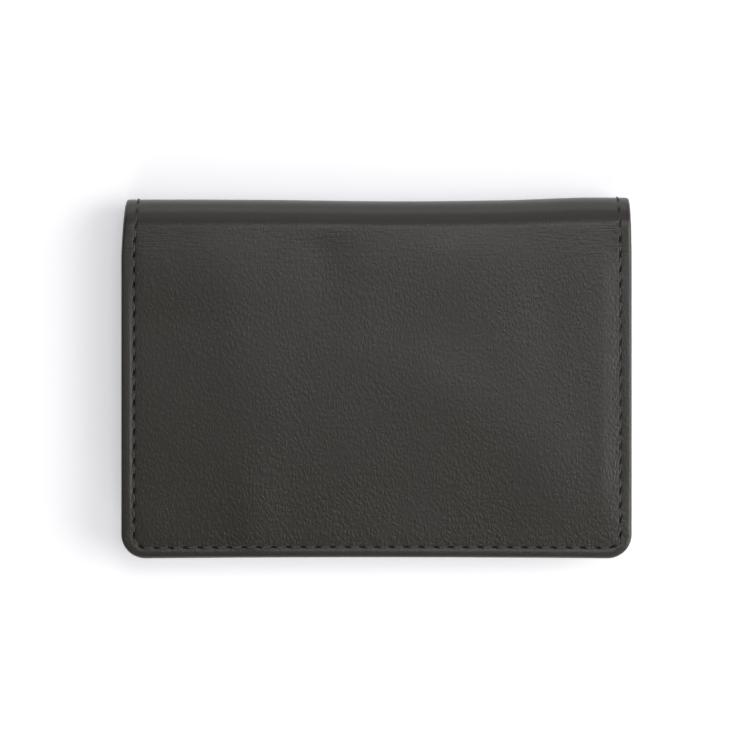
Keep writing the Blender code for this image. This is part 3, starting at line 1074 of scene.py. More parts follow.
def twisted_thread(centres, ups):
    """Rings of points round a path of centres. ups point away from the leather."""
    ahead = np.gradient(centres, axis=0)
    ahead /= np.linalg.norm(ahead, axis=1, keepdims=True)
    side = np.cross(ahead, ups)
    side /= np.linalg.norm(side, axis=1, keepdims=True)
    up = np.cross(side, ahead)
    run = np.concatenate([[0.0], np.cumsum(np.linalg.norm(np.diff(centres, axis=0), axis=1))])
    around = np.linspace(0, math.tau, THREAD_SIDES, endpoint=False)
    lobes = 1 + LOBE * np.cos(STRANDS * around[None, :] - math.tau * run[:, None] / LAY)
    radius = THREAD_RADIUS * lobes / (1 + LOBE / 2)
    return (
        centres[:, None, :]
        + (radius * np.cos(around))[..., None] * side[:, None, :]
        + (radius * np.sin(around))[..., None] * up[:, None, :]
    )


def tube_faces(rings, sides, first):
    """Faces of one closed tube whose points start at number first."""
    faces = []
    for ring in range(rings - 1):
        start = first + ring * sides
        for side in range(sides):
            a, b = start + side, start + (side + 1) % sides
            faces.append([a, b, b + sides, a + sides])
    faces.append(list(range(first + sides - 1, first - 1, -1)))
    last = first + (rings - 1) * sides
    faces.append(list(range(last, last + sides)))
    return faces


def dived(q):
    """How deep the thread has dived below its resting height, at share q of its length."""
    return DIVE_DEPTH * (1 - smooth(np.minimum(q, 1 - q) / DIVE_SHARE))


print(f"thread {2 * THREAD_RADIUS:.2f} mm thick, its strands turn once in {LAY:.2f} mm")

# %% A row of stitches
UP_STEP = 0.1


class Stitches:
    """Threads gathered into one mesh."""

    def __init__(self):
        self.rings = []
        self.faces = []

    def add(self, flat, depth, up=1):
        """Add a thread along places on the open sheet. up is 1 where more depth lies further out of
        the leather, as it does on the inside, and -1 on the outside."""
        centres = np.concatenate([flat, depth[:, None]], axis=1)
        above = centres + np.array([0.0, 0.0, UP_STEP * up])
        centres, above = settle(wrap(centres)), settle(wrap(above))
        first = len(self.rings) * THREAD_RINGS * THREAD_SIDES
        self.rings.append(twisted_thread(centres, above - centres).reshape(-1, 3))
        self.faces += tube_faces(THREAD_RINGS, THREAD_SIDES, first)

    def piece(self, name, stands_for=()):
        """The finished row of stitches as one object."""
        places = np.concatenate(self.rings)
        mesh = finished_mesh(name, places, self.faces, places, np.zeros(len(places)), weld=False)
        print(f"{name}: {len(self.rings)} stitches")
        return add_piece(name, mesh, THREAD, stands_for)


def stitch_run(start):
    """Shares of a stitch's length, and at each how far along the seam and across it the thread lies."""
    q = np.linspace(0, 1, THREAD_RINGS)
    return q, start + STITCH_END + q * (PITCH - 2 * STITCH_END), STITCH_SLANT * (1 - 2 * q)


def seam_stitch(gathered, hole, surface_depth, sunk, outward):
    """One stitch of the seam that runs round the sheet, from a hole to the next.

    surface_depth gives the sewn surface's depth at both ends, sunk is how far its seam lies below it,
    and outward is -1 on the outside of the case and 1 on the inside."""
    q, u, across = stitch_run(hole * PITCH)
    places, inward, seam = edge_at(u)
    on_crest = 1 - smooth(np.abs(places[..., 1]) / PITCH)
    stands = THREAD_STANDS - sunk - dived(q) + CREST_STANDS * on_crest
    depth = surface_depth[0] * (1 - q) + surface_depth[1] * q + outward * stands
    gathered.add(places + (seam + across)[:, None] * inward, depth, outward)


def stitch_v(hole):
    """Where the middle of a stitch lies along the sheet."""
    return edge_at((hole + 0.5) * PITCH)[0][1]


print(f"each stitch is {PITCH - 2 * STITCH_END:.2f} mm of thread")

# %% Sew the outside
OUTER_THREADS = {
    "back": ("back_seam_outer_thread",),
    "fold": (
        "spine_left_thread_lower", "spine_left_thread_upper",
        "spine_right_thread_lower", "spine_right_thread_upper",
    ),
    "front": ("front_seam_outer_thread",),
}


def outside_depth(u):
    """How deep the outer leather lies along the seam: its own relief and the seam's hollow."""
    places, inward, seam = edge_at(u)
    at = places + seam * inward
    return float(face_relief(at[0], at[1]) + SEAM_DROP * pull(at[1]))


for name, part, bodies, stretch in PARTS:
    gathered = Stitches()
    for hole in range(STITCHES):
        if part[0] < stitch_v(hole) < part[1]:
            ends = [outside_depth((hole + k) * PITCH) for k in (0, 1)]
            seam_stitch(gathered, hole, ends, GROOVE_DEPTH, outward=-1)
    piece = gathered.piece(f"outer_stitches_{name}", OUTER_THREADS[name])
    bend_between(piece)

# %% [markdown]
# ## The panels inside
#
# Linings, card slots and the pocket's wall are all panels of one kind: they follow the free edge
# round both corners, the same seam runs along them, and they end in a straight mouth. So one function
# makes them all. A slot's or the pocket's mouth is turned over and has its own row of stitches and a
# soft rounded lip. The lining's edge by the fold is only pared. A flat sheet with Solidify and Bevel
# would be quicker, but its seam couldn't be pressed in where the threads really are.

# %% The rows of a panel
PANEL_DROP = 0.10
PANEL_HOLLOW = 1.0
PANEL_BAND = 2.6
PANEL_ROWS_PER_STITCH = 7
PANEL_COARSE_EVERY = 3
MOUTH_SEAM = 1.6
MOUTH_PLACES = 23
MOUTH_CROWDING = 2.2
LIP = 0.22
LIP_POWER = 0.7
LIP_SHARES = np.array([0.12, 0.3, 0.5, 0.7, 0.88, 1.0])


def mouth_rows():
    """Distances below a panel's mouth, close together at its seam and wider apart away from it."""
    spread = np.sinh(np.linspace(-MOUTH_CROWDING, MOUTH_CROWDING, MOUTH_PLACES))
    spread = MOUTH_SEAM * spread / math.sinh(MOUTH_CROWDING)
    return (MOUTH_SEAM + spread)[::-1]


def seam_drop(across, along):
    """How far one seam draws a panel's top in."""
    return PANEL_DROP * (1 - smooth(np.abs(across) / PANEL_HOLLOW)) + drawn_in(across, along)


def panel_depth(across_seam, along_seam, below_mouth, along_mouth, mouth_sewn):
    """How far a panel's top is drawn in by its two seams, and the share of needle slit there."""
    drop = seam_drop(across_seam, along_seam)
    share = slit(across_seam, along_seam)
    if mouth_sewn:
        across_mouth = below_mouth - MOUTH_SEAM
        drop = np.maximum(drop, seam_drop(across_mouth, along_mouth))
        share = np.maximum(share, slit(across_mouth, along_mouth))
    return drop, share


print(f"{len(mouth_rows())} rows in the {mouth_rows()[0]:.1f} mm below a panel's mouth")

# %% A panel's top
FAR_FROM_SEAM = 9.0
LEAST_THICKNESS = 0.1
PANEL_WAVE_HEIGHT = 0.02
PANEL_WAVE_SIZE = (11.0, 11.0)
PANEL_WAVE_SEED = 3.0


class Panel:
    """A panel on a cover (-1 back, 1 front): its edge's inset, its mouth and its two faces' depths."""

    def __init__(self, cover, inset, mouth_y, bottom, top, mouth_sewn=True, seam_shift=0.0):
        self.cover, self.inset, self.bottom, self.top = cover, inset, bottom, top
        self.mouth = abs(sheet_v(mouth_y, cover))
        self.mouth_sewn, self.seam_shift = mouth_sewn, seam_shift

    def surface(self, flat, across_seam, along_seam):
        """The panel's top at places (x, v), with what its seams do to it."""
        x, v = flat[..., 0], flat[..., 1]
        below = np.abs(v) - self.mouth
        drop, share = panel_depth(across_seam, along_seam, below, from_hole(x), self.mouth_sewn)
        rough = waves(x, v, PANEL_WAVE_SIZE, PANEL_WAVE_SEED + self.top)
        top = self.top - drop - PANEL_WAVE_HEIGHT * (rough + 1)
        depth = np.maximum(top, self.bottom + LEAST_THICKNESS)
        return np.concatenate([flat, depth[..., None], share[..., None]], axis=-1)

    def plain(self, flat):
        """The panel's top at places (x, v) that are far from the seam round the case."""
        far = np.full(flat.shape[:-1], FAR_FROM_SEAM)
        return self.surface(flat, far, far)


# %% A panel's sewn edge and its lip
BAND_PLACES = 12
BAND_CROWDING = 2.4

# The pared edge: where the top ends and where the round begins, in from the edge, and how far each
# of its two steps goes down.
TOP_ENDS = 0.12
ROUND_STARTS = 0.03
ROUND_STEPS = (0.05, 0.10)


def panel_rows(panel):
    """Distances along the seam from mouth to mouth, and which rows the coarse grid keeps."""
    near = panel.mouth + mouth_rows()[::-1]
    side_end = SHEET_HALF - CORNER_RADIUS
    corner_end = side_end + (CORNER_RADIUS - NOMINAL_SEAM) * math.pi / 2
    rows, kept = [near], [np.arange(len(near)) == len(near) - 1]
    for start, stop in ((near[-1], side_end), (side_end, corner_end), (corner_end, QUARTER_SEAM)):
        wanted = (stop - start) / PITCH * PANEL_ROWS_PER_STITCH
        steps = PANEL_COARSE_EVERY * max(round(wanted / PANEL_COARSE_EVERY), 1)
        rows.append(np.linspace(start, stop, steps + 1)[1:])
        kept.append(np.arange(1, steps + 1) % PANEL_COARSE_EVERY == 0)
    u, keep = np.concatenate(rows), np.concatenate(kept)
    u = np.concatenate([u, 2 * QUARTER_SEAM - u[-2::-1]])
    return u + (2 * QUARTER_SEAM if panel.cover > 0 else 0.0), np.concatenate([keep, keep[-2::-1]])


def panel_band(panel, u):
    """The sewn edge from the inner ring out to the panel's edge and down to its underside."""
    places, inward, seam = (part[:, None] for part in edge_at(u))
    seam = seam + panel.seam_shift
    inner = panel.inset + PANEL_BAND
    spread = np.sinh(np.linspace(BAND_CROWDING, 0, BAND_PLACES))[None, :] / math.sinh(BAND_CROWDING)
    face_side = seam + (inner - seam) * spread
    rim_side = seam + (panel.inset + TOP_ENDS - seam) * spread[:, -2::-1]
    flat = np.concatenate([face_side, rim_side], axis=1)
    at = places + flat[..., None] * inward
    top = panel.surface(at, flat - seam, np.broadcast_to(from_hole(u)[:, None], flat.shape))
    edge = top[:, -1:].copy()
    edge[..., :2] = places + (panel.inset + ROUND_STARTS) * inward
    edge[..., 2] -= ROUND_STEPS[0]
    side = edge.copy()
    side[..., :2] = places + panel.inset * inward
    side[..., 2] -= ROUND_STEPS[1]
    foot = side.copy()
    foot[..., 2] = panel.bottom
    return np.concatenate([top, edge, side, foot], axis=1)


def panel_lip(panel, row):
    """The rounded mouth: rows that carry a row of points over the lip to the underside."""
    rows = []
    full = LIP if panel.mouth_sewn else LIP / 2
    reach = full * (row[:, 2] - panel.bottom) / (panel.top - panel.bottom)
    for share in LIP_SHARES:
        turned = row.copy()
        turned[:, 1] -= panel.cover * reach * math.sin(math.pi * share) ** LIP_POWER
        turned[:, 2] = row[:, 2] * (1 - share) + panel.bottom * share
        turned[:, 3] = 0.0
        rows.append(turned)
    return np.array(rows)


# %% The whole panel
CORNER_COLUMNS = 5
SPARE = 0.01


def mouth_columns(inner, kept):
    """The columns of the strip under a mouth: those of the free edge and a few more at both sides,
    and which of them the coarse grid keeps."""
    corner_x = abs(inner[0, 0])
    past_corner = np.abs(inner[:, 1]) > SHEET_HALF - CORNER_RADIUS
    straight = (np.abs(inner[:, 0]) < corner_x - COMB_WIDTH - SPARE) & past_corner
    bottom_x = inner[straight, 0]
    order = np.argsort(bottom_x)
    near_left = np.linspace(-corner_x, bottom_x.min(), CORNER_COLUMNS + 1)[:-1]
    unkept = np.zeros(len(near_left), bool)
    xs = np.concatenate([near_left, bottom_x[order], -near_left[::-1]])
    return xs, np.concatenate([unkept, kept[straight][order], unkept])


def panel_skin(panel):
    """The sewn edge with its lips, the strip under the mouth, the underside and a coarse middle."""
    skin = Skin()
    u, kept = panel_rows(panel)
    band = panel_band(panel, u)
    start_lip, end_lip = panel_lip(panel, band[0]), panel_lip(panel, band[-1])
    skin.patch(np.concatenate([start_lip[::-1], band, end_lip]))

    inner = band[:, 0]
    on_left = inner[0, 0] < 0
    count = len(mouth_rows())
    xs, x_kept = mouth_columns(inner, kept)
    strip = panel.plain(np.stack(np.meshgrid(xs, inner[:count, 1]), axis=-1))
    left, right = (inner, inner[::-1]) if on_left else (inner[::-1], inner)
    strip[:, 0], strip[:, -1] = left[:count], right[:count]
    mouth_lip = panel_lip(panel, strip[0])
    skin.patch(np.concatenate([mouth_lip[::-1], strip]))
    under_mouth = mouth_lip[-1][::-1] if on_left else mouth_lip[-1]
    under = [start_lip[-1], band[1:-1, -1], end_lip[-1, ::-1], under_mouth[1:-1]]
    skin.face(np.concatenate(under))

    ring = inner[count - 1 : len(inner) - count + 1]
    ring_kept = kept[count - 1 : len(inner) - count + 1].copy()
    ring_kept[0] = ring_kept[-1] = True
    back, back_kept = strip[-1, 1:-1], x_kept[1:-1]
    if on_left:
        back, back_kept = back[::-1], back_kept[::-1]
    ring = np.concatenate([ring, back])
    fill_inside(skin, ring, np.concatenate([ring_kept, back_kept]), panel.plain)
    return skin


# %% [markdown]
# The linings lie in the shallow trays that the covers' turned edges make, and everything else is sewn
# on top of them. The depths come from the solids.

# %% Make the panels
TOUCH = 0.04
LINING_INSET = 1.5
LINING_THICK = 0.55
WALL_REACHES = 0.20
FACING_UNDER_WALL = 0.24
WALL_SEAM_SHIFT = 0.25
lining_y = high_of("back_lining", "y")
wall_low, wall_high = low_of("card_pocket_wall"), high_of("card_pocket_wall")
facing_low = low_of("card_pocket_wall_lining")
rear_high = THICKNESS - low_of("card_slot_rear")
front_high = THICKNESS - low_of("card_slot_front")
slot_inset = HALF_WIDTH - high_of("card_slot_rear", "x")
wall_inset = HALF_WIDTH - high_of("card_pocket_wall", "x")
facing_inset = HALF_WIDTH - high_of("card_pocket_wall_lining", "x")
wall_y = high_of("card_pocket_wall", "y")
facing_y = high_of("card_pocket_wall_lining", "y")
rear_y, front_y = high_of("card_slot_rear", "y"), high_of("card_slot_front", "y")


def lining_panel(cover):
    """A cover's whole inside, with a plain edge by the fold."""
    return Panel(cover, LINING_INSET, lining_y, COVER - LINING_THICK, COVER, mouth_sewn=False)


# Name, the solid that it stands for, its body, finish, material slot, and shape.
PANELS = (
    ("back_lining_leather", "back_lining", "back_half", LINING_LEATHER, "lining_leather",
     lining_panel(-1)),
    ("front_lining_leather", "front_lining", "front_half", LINING_LEATHER, "lining_leather",
     lining_panel(1)),
    ("rear_card_slot", "card_slot_rear", "front_half", LINING_LEATHER, "lining_leather",
     Panel(1, slot_inset, rear_y, COVER + TOUCH, rear_high)),
    ("front_card_slot", "card_slot_front", "front_half", LINING_LEATHER, "lining_leather",
     Panel(1, slot_inset, front_y, rear_high + TOUCH, front_high)),
    ("pocket_wall_leather", "card_pocket_wall", "pocket_wall", OUTER_LEATHER, "outer_leather",
     Panel(-1, wall_inset, wall_y, wall_low - WALL_REACHES, wall_high, seam_shift=WALL_SEAM_SHIFT)),
    ("pocket_wall_facing", "card_pocket_wall_lining", "pocket_wall", LINING_LEATHER, "lining_leather",
     Panel(-1, facing_inset, facing_y, facing_low - WALL_REACHES, wall_low - FACING_UNDER_WALL,
           mouth_sewn=False)),
)
for name, node, body, finish, slot_name, panel in PANELS:
    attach(skin_piece(name, panel_skin(panel), finish, (node,)), body)

# %% [markdown]
# ## Stitches inside
#
# The outside seam's other thread shows on the inside, through the same holes. Where the seam climbs
# from a lining onto a card slot, the stitch slants up with it. The pocket's wall has a seam of its own,
# a little further in, which only catches the bellows. Each turned mouth has a straight row.

# %% Sew the inside
INSIDE_SUNK = PANEL_DROP + GROOVE_DEPTH
GUSSET_THICK = 0.4
MOUTH_HALF = HALF_WIDTH - 3.4


def level_at(v, levels, cover):
    """The depth of the highest piece that a needle hole at v goes through, or None above them all."""
    reached = [depth for mouth_y, depth in levels if v >= abs(sheet_v(mouth_y, cover))]
    return reached[-1] if reached else None


def inside_seam(name, node, body, cover, levels):
    """The seam on a cover's inside. levels are (mouth_y, depth) from the fold downwards."""
    gathered = Stitches()
    start = 0 if cover < 0 else STITCHES // 2
    for hole in range(start, start + STITCHES // 2):
        ends = [abs(edge_at((hole + k) * PITCH)[0][1]) for k in (0, 1)]
        depths = [level_at(v, levels, cover) for v in ends]
        if None not in depths:
            seam_stitch(gathered, hole, depths, INSIDE_SUNK, outward=1)
    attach(gathered.piece(name, (node,)), body)


def mouth_seam(name, node, body, cover, mouth_y, depth):
    """The straight seam under a turned mouth."""
    gathered = Stitches()
    v = sheet_v(mouth_y - MOUTH_SEAM, cover)
    reach = int(MOUTH_HALF // PITCH)
    for hole in range(-reach, reach):
        q, xs, across = stitch_run(hole * PITCH)
        stands = THREAD_STANDS - INSIDE_SUNK - dived(q)
        gathered.add(np.stack([xs, v + across], axis=-1), depth + stands)
    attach(gathered.piece(name, (node,)), body)


flange_top = low_of("card_pocket_gusset") + GUSSET_THICK
inside_seam("back_inner_stitches", "back_seam_inner_thread", "back_half", -1,
            [(lining_y, COVER), (wall_y, flange_top)])
inside_seam("front_inner_stitches", "front_seam_inner_thread", "front_half", 1,
            [(lining_y, COVER), (rear_y, rear_high), (front_y, front_high)])
mouth_seam("rear_slot_stitches", "card_slot_rear_thread", "front_half", 1, rear_y, rear_high)
mouth_seam("front_slot_stitches", "card_slot_front_thread", "front_half", 1, front_y, front_high)
mouth_seam("pocket_mouth_stitches", "card_pocket_mouth_thread", "pocket_wall", -1, wall_y, wall_high)

# %% Sew the pocket's wall
def pocket_seam():
    """The seam round the pocket's wall, beside the cover's own holes."""
    gathered = Stitches()
    limit = abs(sheet_v(wall_y, -1))
    for hole in range(STITCHES // 2):
        q, u, across = stitch_run(hole * PITCH)
        places, inward, seam = edge_at(u)
        if np.abs(places[:, 1]).min() < limit:
            continue
        flat = places + (seam + WALL_SEAM_SHIFT + across)[:, None] * inward
        gathered.add(flat, wall_high + THREAD_STANDS - INSIDE_SUNK - dived(q))
    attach(gathered.piece("pocket_seam_stitches", ("card_pocket_seam_thread",)), "pocket_wall")


pocket_seam()

# %% [markdown]
# ## The hinge lining
#
# One strip of thin leather runs across the inside of the fold, its ends under both linings. Closed, it
# is pressed together, so it lies in fine wrinkles along the fold. A cloth simulation could make them,
# but its three parts wouldn't end in the same places. Noise that is drawn out along the fold looks
# much the same and fits. The strip is parted like the outer leather.

# %% Make the hinge lining
HINGE_REACHES = 0.05
HINGE_LOW = low_of("back_stiffener") - HINGE_REACHES
HINGE_HIGH = high_of("back_stiffener") + HINGE_REACHES
HINGE_TAIL = 7.0
HINGE_ROWS = 34
HINGE_COLUMNS = 90
PRESSED_BEFORE = 1.5
PRESSED_OVER = 3.0

# Height, size across and along, and the noise's own seed.
HINGE_WRINKLES = (
    (0.06, (14.0, 1.1), 2.2),
    (0.03, (4.0, 0.8), 7.7),
)


def hinge_skin(part):
    """The strip between two values of v, as a closed slab with a wrinkled top."""
    skin = Skin()
    half = HALF_WIDTH - LINING_INSET
    low_v = max(part[0], -QUARTER - HINGE_TAIL)
    high_v = min(part[1], QUARTER + HINGE_TAIL)
    xs = np.linspace(-half, half, HINGE_COLUMNS)
    x, v = np.meshgrid(xs, np.linspace(low_v, high_v, HINGE_ROWS))
    pressed = 1 - smooth((np.abs(v) - QUARTER + PRESSED_BEFORE) / PRESSED_OVER)
    wrinkle = pressed * sum(high * waves(x, v, size, seed) for high, size, seed in HINGE_WRINKLES)
    unslit = np.zeros_like(x)
    top = np.stack([x, v, HINGE_HIGH + wrinkle, unslit], axis=-1)
    under = np.stack([x, v, np.full_like(x, HINGE_LOW), unslit], axis=-1)
    skin.patch(top)
    skin.patch(under)
    for row in (0, -1):
        skin.patch(np.array([top[row], under[row]]))
        skin.patch(np.array([top[:, row], under[:, row]]))
    return skin


HINGE_NODES = {
    "back": ("back_hinge_lining",),
    "fold": ("spine_hinge_lining_lower", "spine_hinge_lining_upper"),
    "front": ("front_hinge_lining",),
}
for name, part, bodies, stretch in PARTS:
    title, nodes = f"hinge_lining_{name}", HINGE_NODES[name]
    piece = skin_piece(title, hinge_skin(part), LINING_LEATHER, nodes)
    bend_between(piece)

# %% [markdown]
# ## The bellows
#
# The pocket's wall is held up by a strip folded inward like an accordion, sewn to the back cover and to
# the wall. At the two corners there is too much strip for the turn, so it gathers. A curve with a
# bevel profile would follow the pocket too, but it would pinch at the corners. So each point of the
# section follows a U of its own, with a least radius. When the pocket holds no cards the bellows fold
# flat, and the share of their height that they keep then is worked out from the pocket's joint.

# %% The bellows' section and the line that it follows
GUSSET_FOOT = low_of("card_pocket_gusset")
GUSSET_TOP = high_of("card_pocket_gusset")
GUSSET_SEWN_TO = 3.3
GUSSET_IN = 6.3
TIGHTEST_TURN = 1.2
LINE_PLACES = 29
LINE_SHARES = (0.0, 0.2, 0.5, 0.8, 1.0)
LINE_SOFTENED = 2
SIDE_PLACES = 110
TURN_PLACES = 25
END_PLACES = 60


def bellows_line():
    """The strip's middle line as (inset, height): foot, fold and upper flange, as one smooth curve."""
    low, high = GUSSET_FOOT + GUSSET_THICK / 2, GUSSET_TOP - GUSSET_THICK / 2
    edge = HALF_WIDTH - high_of("card_pocket_gusset", "x")
    insets = (edge, GUSSET_SEWN_TO, GUSSET_IN, GUSSET_SEWN_TO, edge)
    heights = (low, low, (low + high) / 2, high, high)
    run = np.linspace(0, 1, LINE_PLACES)
    line = np.stack([np.interp(run, LINE_SHARES, values) for values in (insets, heights)], axis=-1)
    for _ in range(LINE_SOFTENED):
        line[1:-1] = 0.25 * line[:-2] + 0.5 * line[1:-1] + 0.25 * line[2:]
    return line


def strip_quarter(inset, start):
    """Places along a quarter of the U that the strip follows, at one inset from the sheet's edge."""
    radius = max(CORNER_RADIUS - inset, TIGHTEST_TURN)
    centre = np.array([HALF_WIDTH - inset - radius, SHEET_HALF - inset - radius])
    side = np.linspace(start, centre[1], SIDE_PLACES)
    turn = np.linspace(0, math.pi / 2, TURN_PLACES)[1:]
    end = np.linspace(centre[0], 0, END_PLACES)[1:]
    return np.concatenate([
        np.stack([np.full_like(side, HALF_WIDTH - inset), side], axis=-1),
        centre + radius * np.stack([np.cos(turn), np.sin(turn)], axis=-1),
        np.stack([end, np.full_like(end, SHEET_HALF - inset)], axis=-1),
    ])


innermost = bellows_line()[:, 0].max()
print(f"bellows {GUSSET_TOP - GUSSET_FOOT:.1f} mm high, folded in to {innermost:.1f} mm from the edge")

# %% Make the bellows
BELOW_MOUTH = 0.3
GATHER_HEIGHT = 0.20
GATHER_REACH = 7.0
GATHER_TURN = 0.9
SOFT_HEIGHT = 0.10
SOFT_SIZE = (6.0, 2.5)
SOFT_SEED = 4.4


def bellows_skin():
    """The folded strip, from one side of the pocket's mouth round to the other."""
    skin = Skin()
    line = bellows_line()
    ahead = np.gradient(line, axis=0)
    ahead /= np.linalg.norm(ahead, axis=1, keepdims=True)
    half = GUSSET_THICK / 2 * np.stack([-ahead[:, 1], ahead[:, 0]], axis=-1)
    section = np.concatenate([line + half, (line - half)[::-1]])
    inset, level = section[:, 0], section[:, 1]
    start = abs(sheet_v(wall_y, -1)) + BELOW_MOUTH
    quarter = np.stack([strip_quarter(each, start) for each in inset], axis=1)
    flat = np.concatenate([quarter * (1, -1), quarter[-2::-1] * (-1, -1)])
    corner = (HALF_WIDTH - CORNER_RADIUS, SHEET_HALF - CORNER_RADIUS)
    from_corner = np.linalg.norm(np.abs(flat) - corner, axis=-1)
    free = np.sin(math.pi * (level - GUSSET_FOOT) / (GUSSET_TOP - GUSSET_FOOT)) ** 2
    run = np.arange(len(flat))[:, None]
    gathers = GATHER_HEIGHT * np.exp(-((from_corner / GATHER_REACH) ** 2)) * np.sin(run * GATHER_TURN)
    soft = SOFT_HEIGHT * waves(flat[..., 0] + flat[..., 1], level + 0 * run, SOFT_SIZE, SOFT_SEED)
    height = level + free * (gathers + soft)
    points = np.concatenate([flat, height[..., None], np.zeros_like(height)[..., None]], axis=-1)
    skin.patch(np.concatenate([points, points[:, :1]], axis=1))
    skin.face(points[0])
    skin.face(points[-1])
    return skin


gusset_node = ("card_pocket_gusset",)
bellows = skin_piece("pocket_bellows", bellows_skin(), GUSSET_LEATHER, gusset_node)
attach(bellows, "back_half")
press = next(joint for joint in frame["joints"] if joint["name"] == "pocket_press")
travel = abs(press["range_m"][0]) / MM
KEEP = (GUSSET_TOP - GUSSET_FOOT - travel) / (GUSSET_TOP - GUSSET_FOOT)
GUSSET_FOOT * MM
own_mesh(bellows)
print(f"the bellows fold to {KEEP:.2f} of their height")

# %% [markdown]
# ## Table, light and camera
#
# The case lies on a plain white sweep: a floor that curves up into a low wall all round, because a
# flat floor would show its far edge in a low view. The sweep is lit like everything else, so it keeps
# the case's soft shadow. Where the camera, a reflection or a pane of glass sees it, it also glows.
# That makes it white without more light on the case. The glow is weak and very slightly violet round
# the case, so the shadow keeps its tone, and it rises to full white on the way to the wall, where the
# lamps hardly reach.

# %% The sweep
SWEEP_FLAT = 2.2
SWEEP_BEND = 0.5
SWEEP_WALL = 1.0
SWEEP_SIDES = 96
SWEEP_BEND_STEPS = 12
SWEEP_WHITE = (0.80, 0.80, 0.80, 1.0)
GLOW_NEAR = (0.385, 0.382, 0.397, 1.0)
GLOW_FAR = (1.0, 1.0, 1.0, 1.0)
GLOW_FROM = 0.4
GLOW_TO = 1.3


def sweep_finish():
    """Matt white that also glows where a camera, a reflection or glass looks at it."""
    material, wire = new_finish("sweep_finish")
    camera_ray, glossy_ray, passing_ray = (
        wire.node("ShaderNodeLightPath", out=kind)
        for kind in ("Is Camera Ray", "Is Glossy Ray", "Is Transmission Ray")
    )
    seen = wire.math("MAXIMUM", camera_ray, wire.math("MAXIMUM", glossy_ray, passing_ray))
    plain = wire.node("ShaderNodeBsdfDiffuse", None, {"Color": SWEEP_WHITE})
    where = wire.node("ShaderNodeTexCoord", out="Object")
    reach = wire.node("ShaderNodeVectorMath", {"operation": "LENGTH"}, {0: where}, out="Value")
    lit = mix_colour(wire, rise(wire, reach, GLOW_FROM, GLOW_TO), GLOW_NEAR, GLOW_FAR)
    glow = wire.node("ShaderNodeEmission", None, {"Color": lit, "Strength": seen})
    both = wire.node("ShaderNodeAddShader", None, {0: plain, 1: glow})
    wire.node("ShaderNodeOutputMaterial", None, {"Surface": both})
    return material


def add_sweep():
    """A round floor whose rim turns up into a wall."""
    turn = np.linspace(0, math.pi / 2, SWEEP_BEND_STEPS)
    reach = np.concatenate([SWEEP_FLAT + SWEEP_BEND * np.sin(turn), [SWEEP_FLAT + SWEEP_BEND]])
    height = np.concatenate([SWEEP_BEND * (1 - np.cos(turn)), [SWEEP_BEND + SWEEP_WALL]])
    around = np.linspace(0, math.tau, SWEEP_SIDES, endpoint=False)
    ring = np.stack([np.cos(around), np.sin(around)], axis=-1)
    points = [(x * r, y * r, z) for r, z in zip(reach, height) for x, y in ring]
    faces = [tuple(range(SWEEP_SIDES))]
    for row in range(len(reach) - 1):
        for i in range(SWEEP_SIDES):
            a, b = row * SWEEP_SIDES + i, row * SWEEP_SIDES + (i + 1) % SWEEP_SIDES
            faces.append((a, a + SWEEP_SIDES, b + SWEEP_SIDES, b))
    mesh = bpy.data.meshes.new("sweep")
    mesh.from_pydata(points, [], faces)
    mesh.shade_smooth()
    mesh.materials.append(sweep_finish())
    sweep = bpy.data.objects.new("sweep", mesh)
    bpy.context.scene.collection.objects.link(sweep)
    print("sweep", round(2 * reach[-1], 1), "m across")


add_sweep()

# %% [markdown]
# Black leather shows light more than colour, so the lamps are placed by what each one does to it. A
# small box nearly overhead, a little behind, gives the satin sheen that fades towards the free edge.
# Because it is near, its reflection changes across the cover. A second one, high on the right, does
# the same for the right side. Two large boxes further down on the right light the rounded edges and
# throw the soft shadow to the left. A large one in front lifts the free edge, and two slightly violet
# ones behind draw the bright band along the fold. Their strengths add up to a level at which a colour
# renders about as it is written. A picture of a studio as the world would light the case too, but
# then no highlight could be moved on its own.

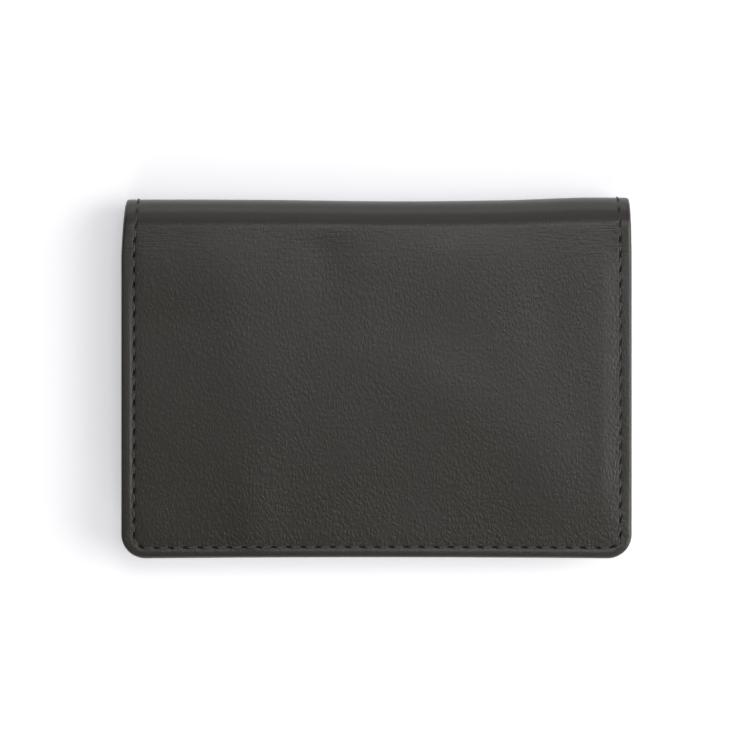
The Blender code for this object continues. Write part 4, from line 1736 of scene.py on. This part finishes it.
# %% The lamps and the world
# Name, azimuth, elevation, distance and width in metres, watts, and colour.
LAMPS = (
    ("sheen_box", 78, 78, 0.70, 0.22, 0.61, (0.96, 0.96, 1.0)),
    ("high_right_box", 52, 67, 1.20, 0.40, 0.75, (0.98, 0.98, 1.0)),
    ("right_box", 0, 48, 1.20, 0.90, 6.9, (1.0, 1.0, 1.0)),
    ("low_right_box", 0, 30, 1.35, 1.30, 6.4, (1.0, 1.0, 1.0)),
    ("back_box", 90, 44, 1.20, 0.60, 1.1, (0.88, 0.86, 1.0)),
    ("low_back_box", 90, 8, 1.60, 0.60, 0.6, (0.88, 0.84, 1.0)),
    ("front_box", 270, 35, 1.40, 1.40, 9.0, (1.0, 1.0, 1.0)),
)
WORLD_WHITE = (1.0, 1.0, 1.0, 1.0)
WORLD_LIGHT = 0.02


def soft_box(name, azimuth, elevation, distance, width, power, colour):
    """A round soft box turned to the case. Angles in degrees: azimuth 0 is right and 90 behind."""
    turn, lift = math.radians(azimuth), math.radians(elevation)
    way = Vector((math.cos(turn) * math.cos(lift), math.sin(turn) * math.cos(lift), math.sin(lift)))
    lamp = bpy.data.lights.new(name, "AREA")
    lamp.shape = "DISK"
    lamp.size = width
    lamp.energy = power
    lamp.color = colour
    box = bpy.data.objects.new(name, lamp)
    box.location = way * distance
    box.rotation_mode = "QUATERNION"
    box.rotation_quaternion = (-way).to_track_quat("-Z", "Y")
    box.visible_camera = False
    bpy.context.scene.collection.objects.link(box)


for lamp_row in LAMPS:
    soft_box(*lamp_row)

world = bpy.data.worlds.new("studio")
world.use_nodes = True
background = world.node_tree.nodes["Background"]
background.inputs["Color"].default_value = WORLD_WHITE
background.inputs["Strength"].default_value = WORLD_LIGHT
bpy.context.scene.world = world
bpy.context.scene.view_settings.view_transform = "Standard"
print(len(LAMPS), "soft boxes,", round(sum(row[5] for row in LAMPS), 2), "W together")

# %% The camera
CAMERA_HEIGHT = 0.95
LENS = 213.0
FILM_WIDTH = 36.0
AIM = (-0.00031, 0.00073)
camera_data = bpy.data.cameras.new("camera")
camera_data.sensor_width = FILM_WIDTH
camera_data.lens = LENS
camera = bpy.data.objects.new("camera", camera_data)
camera.location = (AIM[0], AIM[1], CAMERA_HEIGHT)
bpy.context.scene.collection.objects.link(camera)
bpy.context.scene.camera = camera
print("camera", CAMERA_HEIGHT, "m above the table, lens", LENS, "mm")
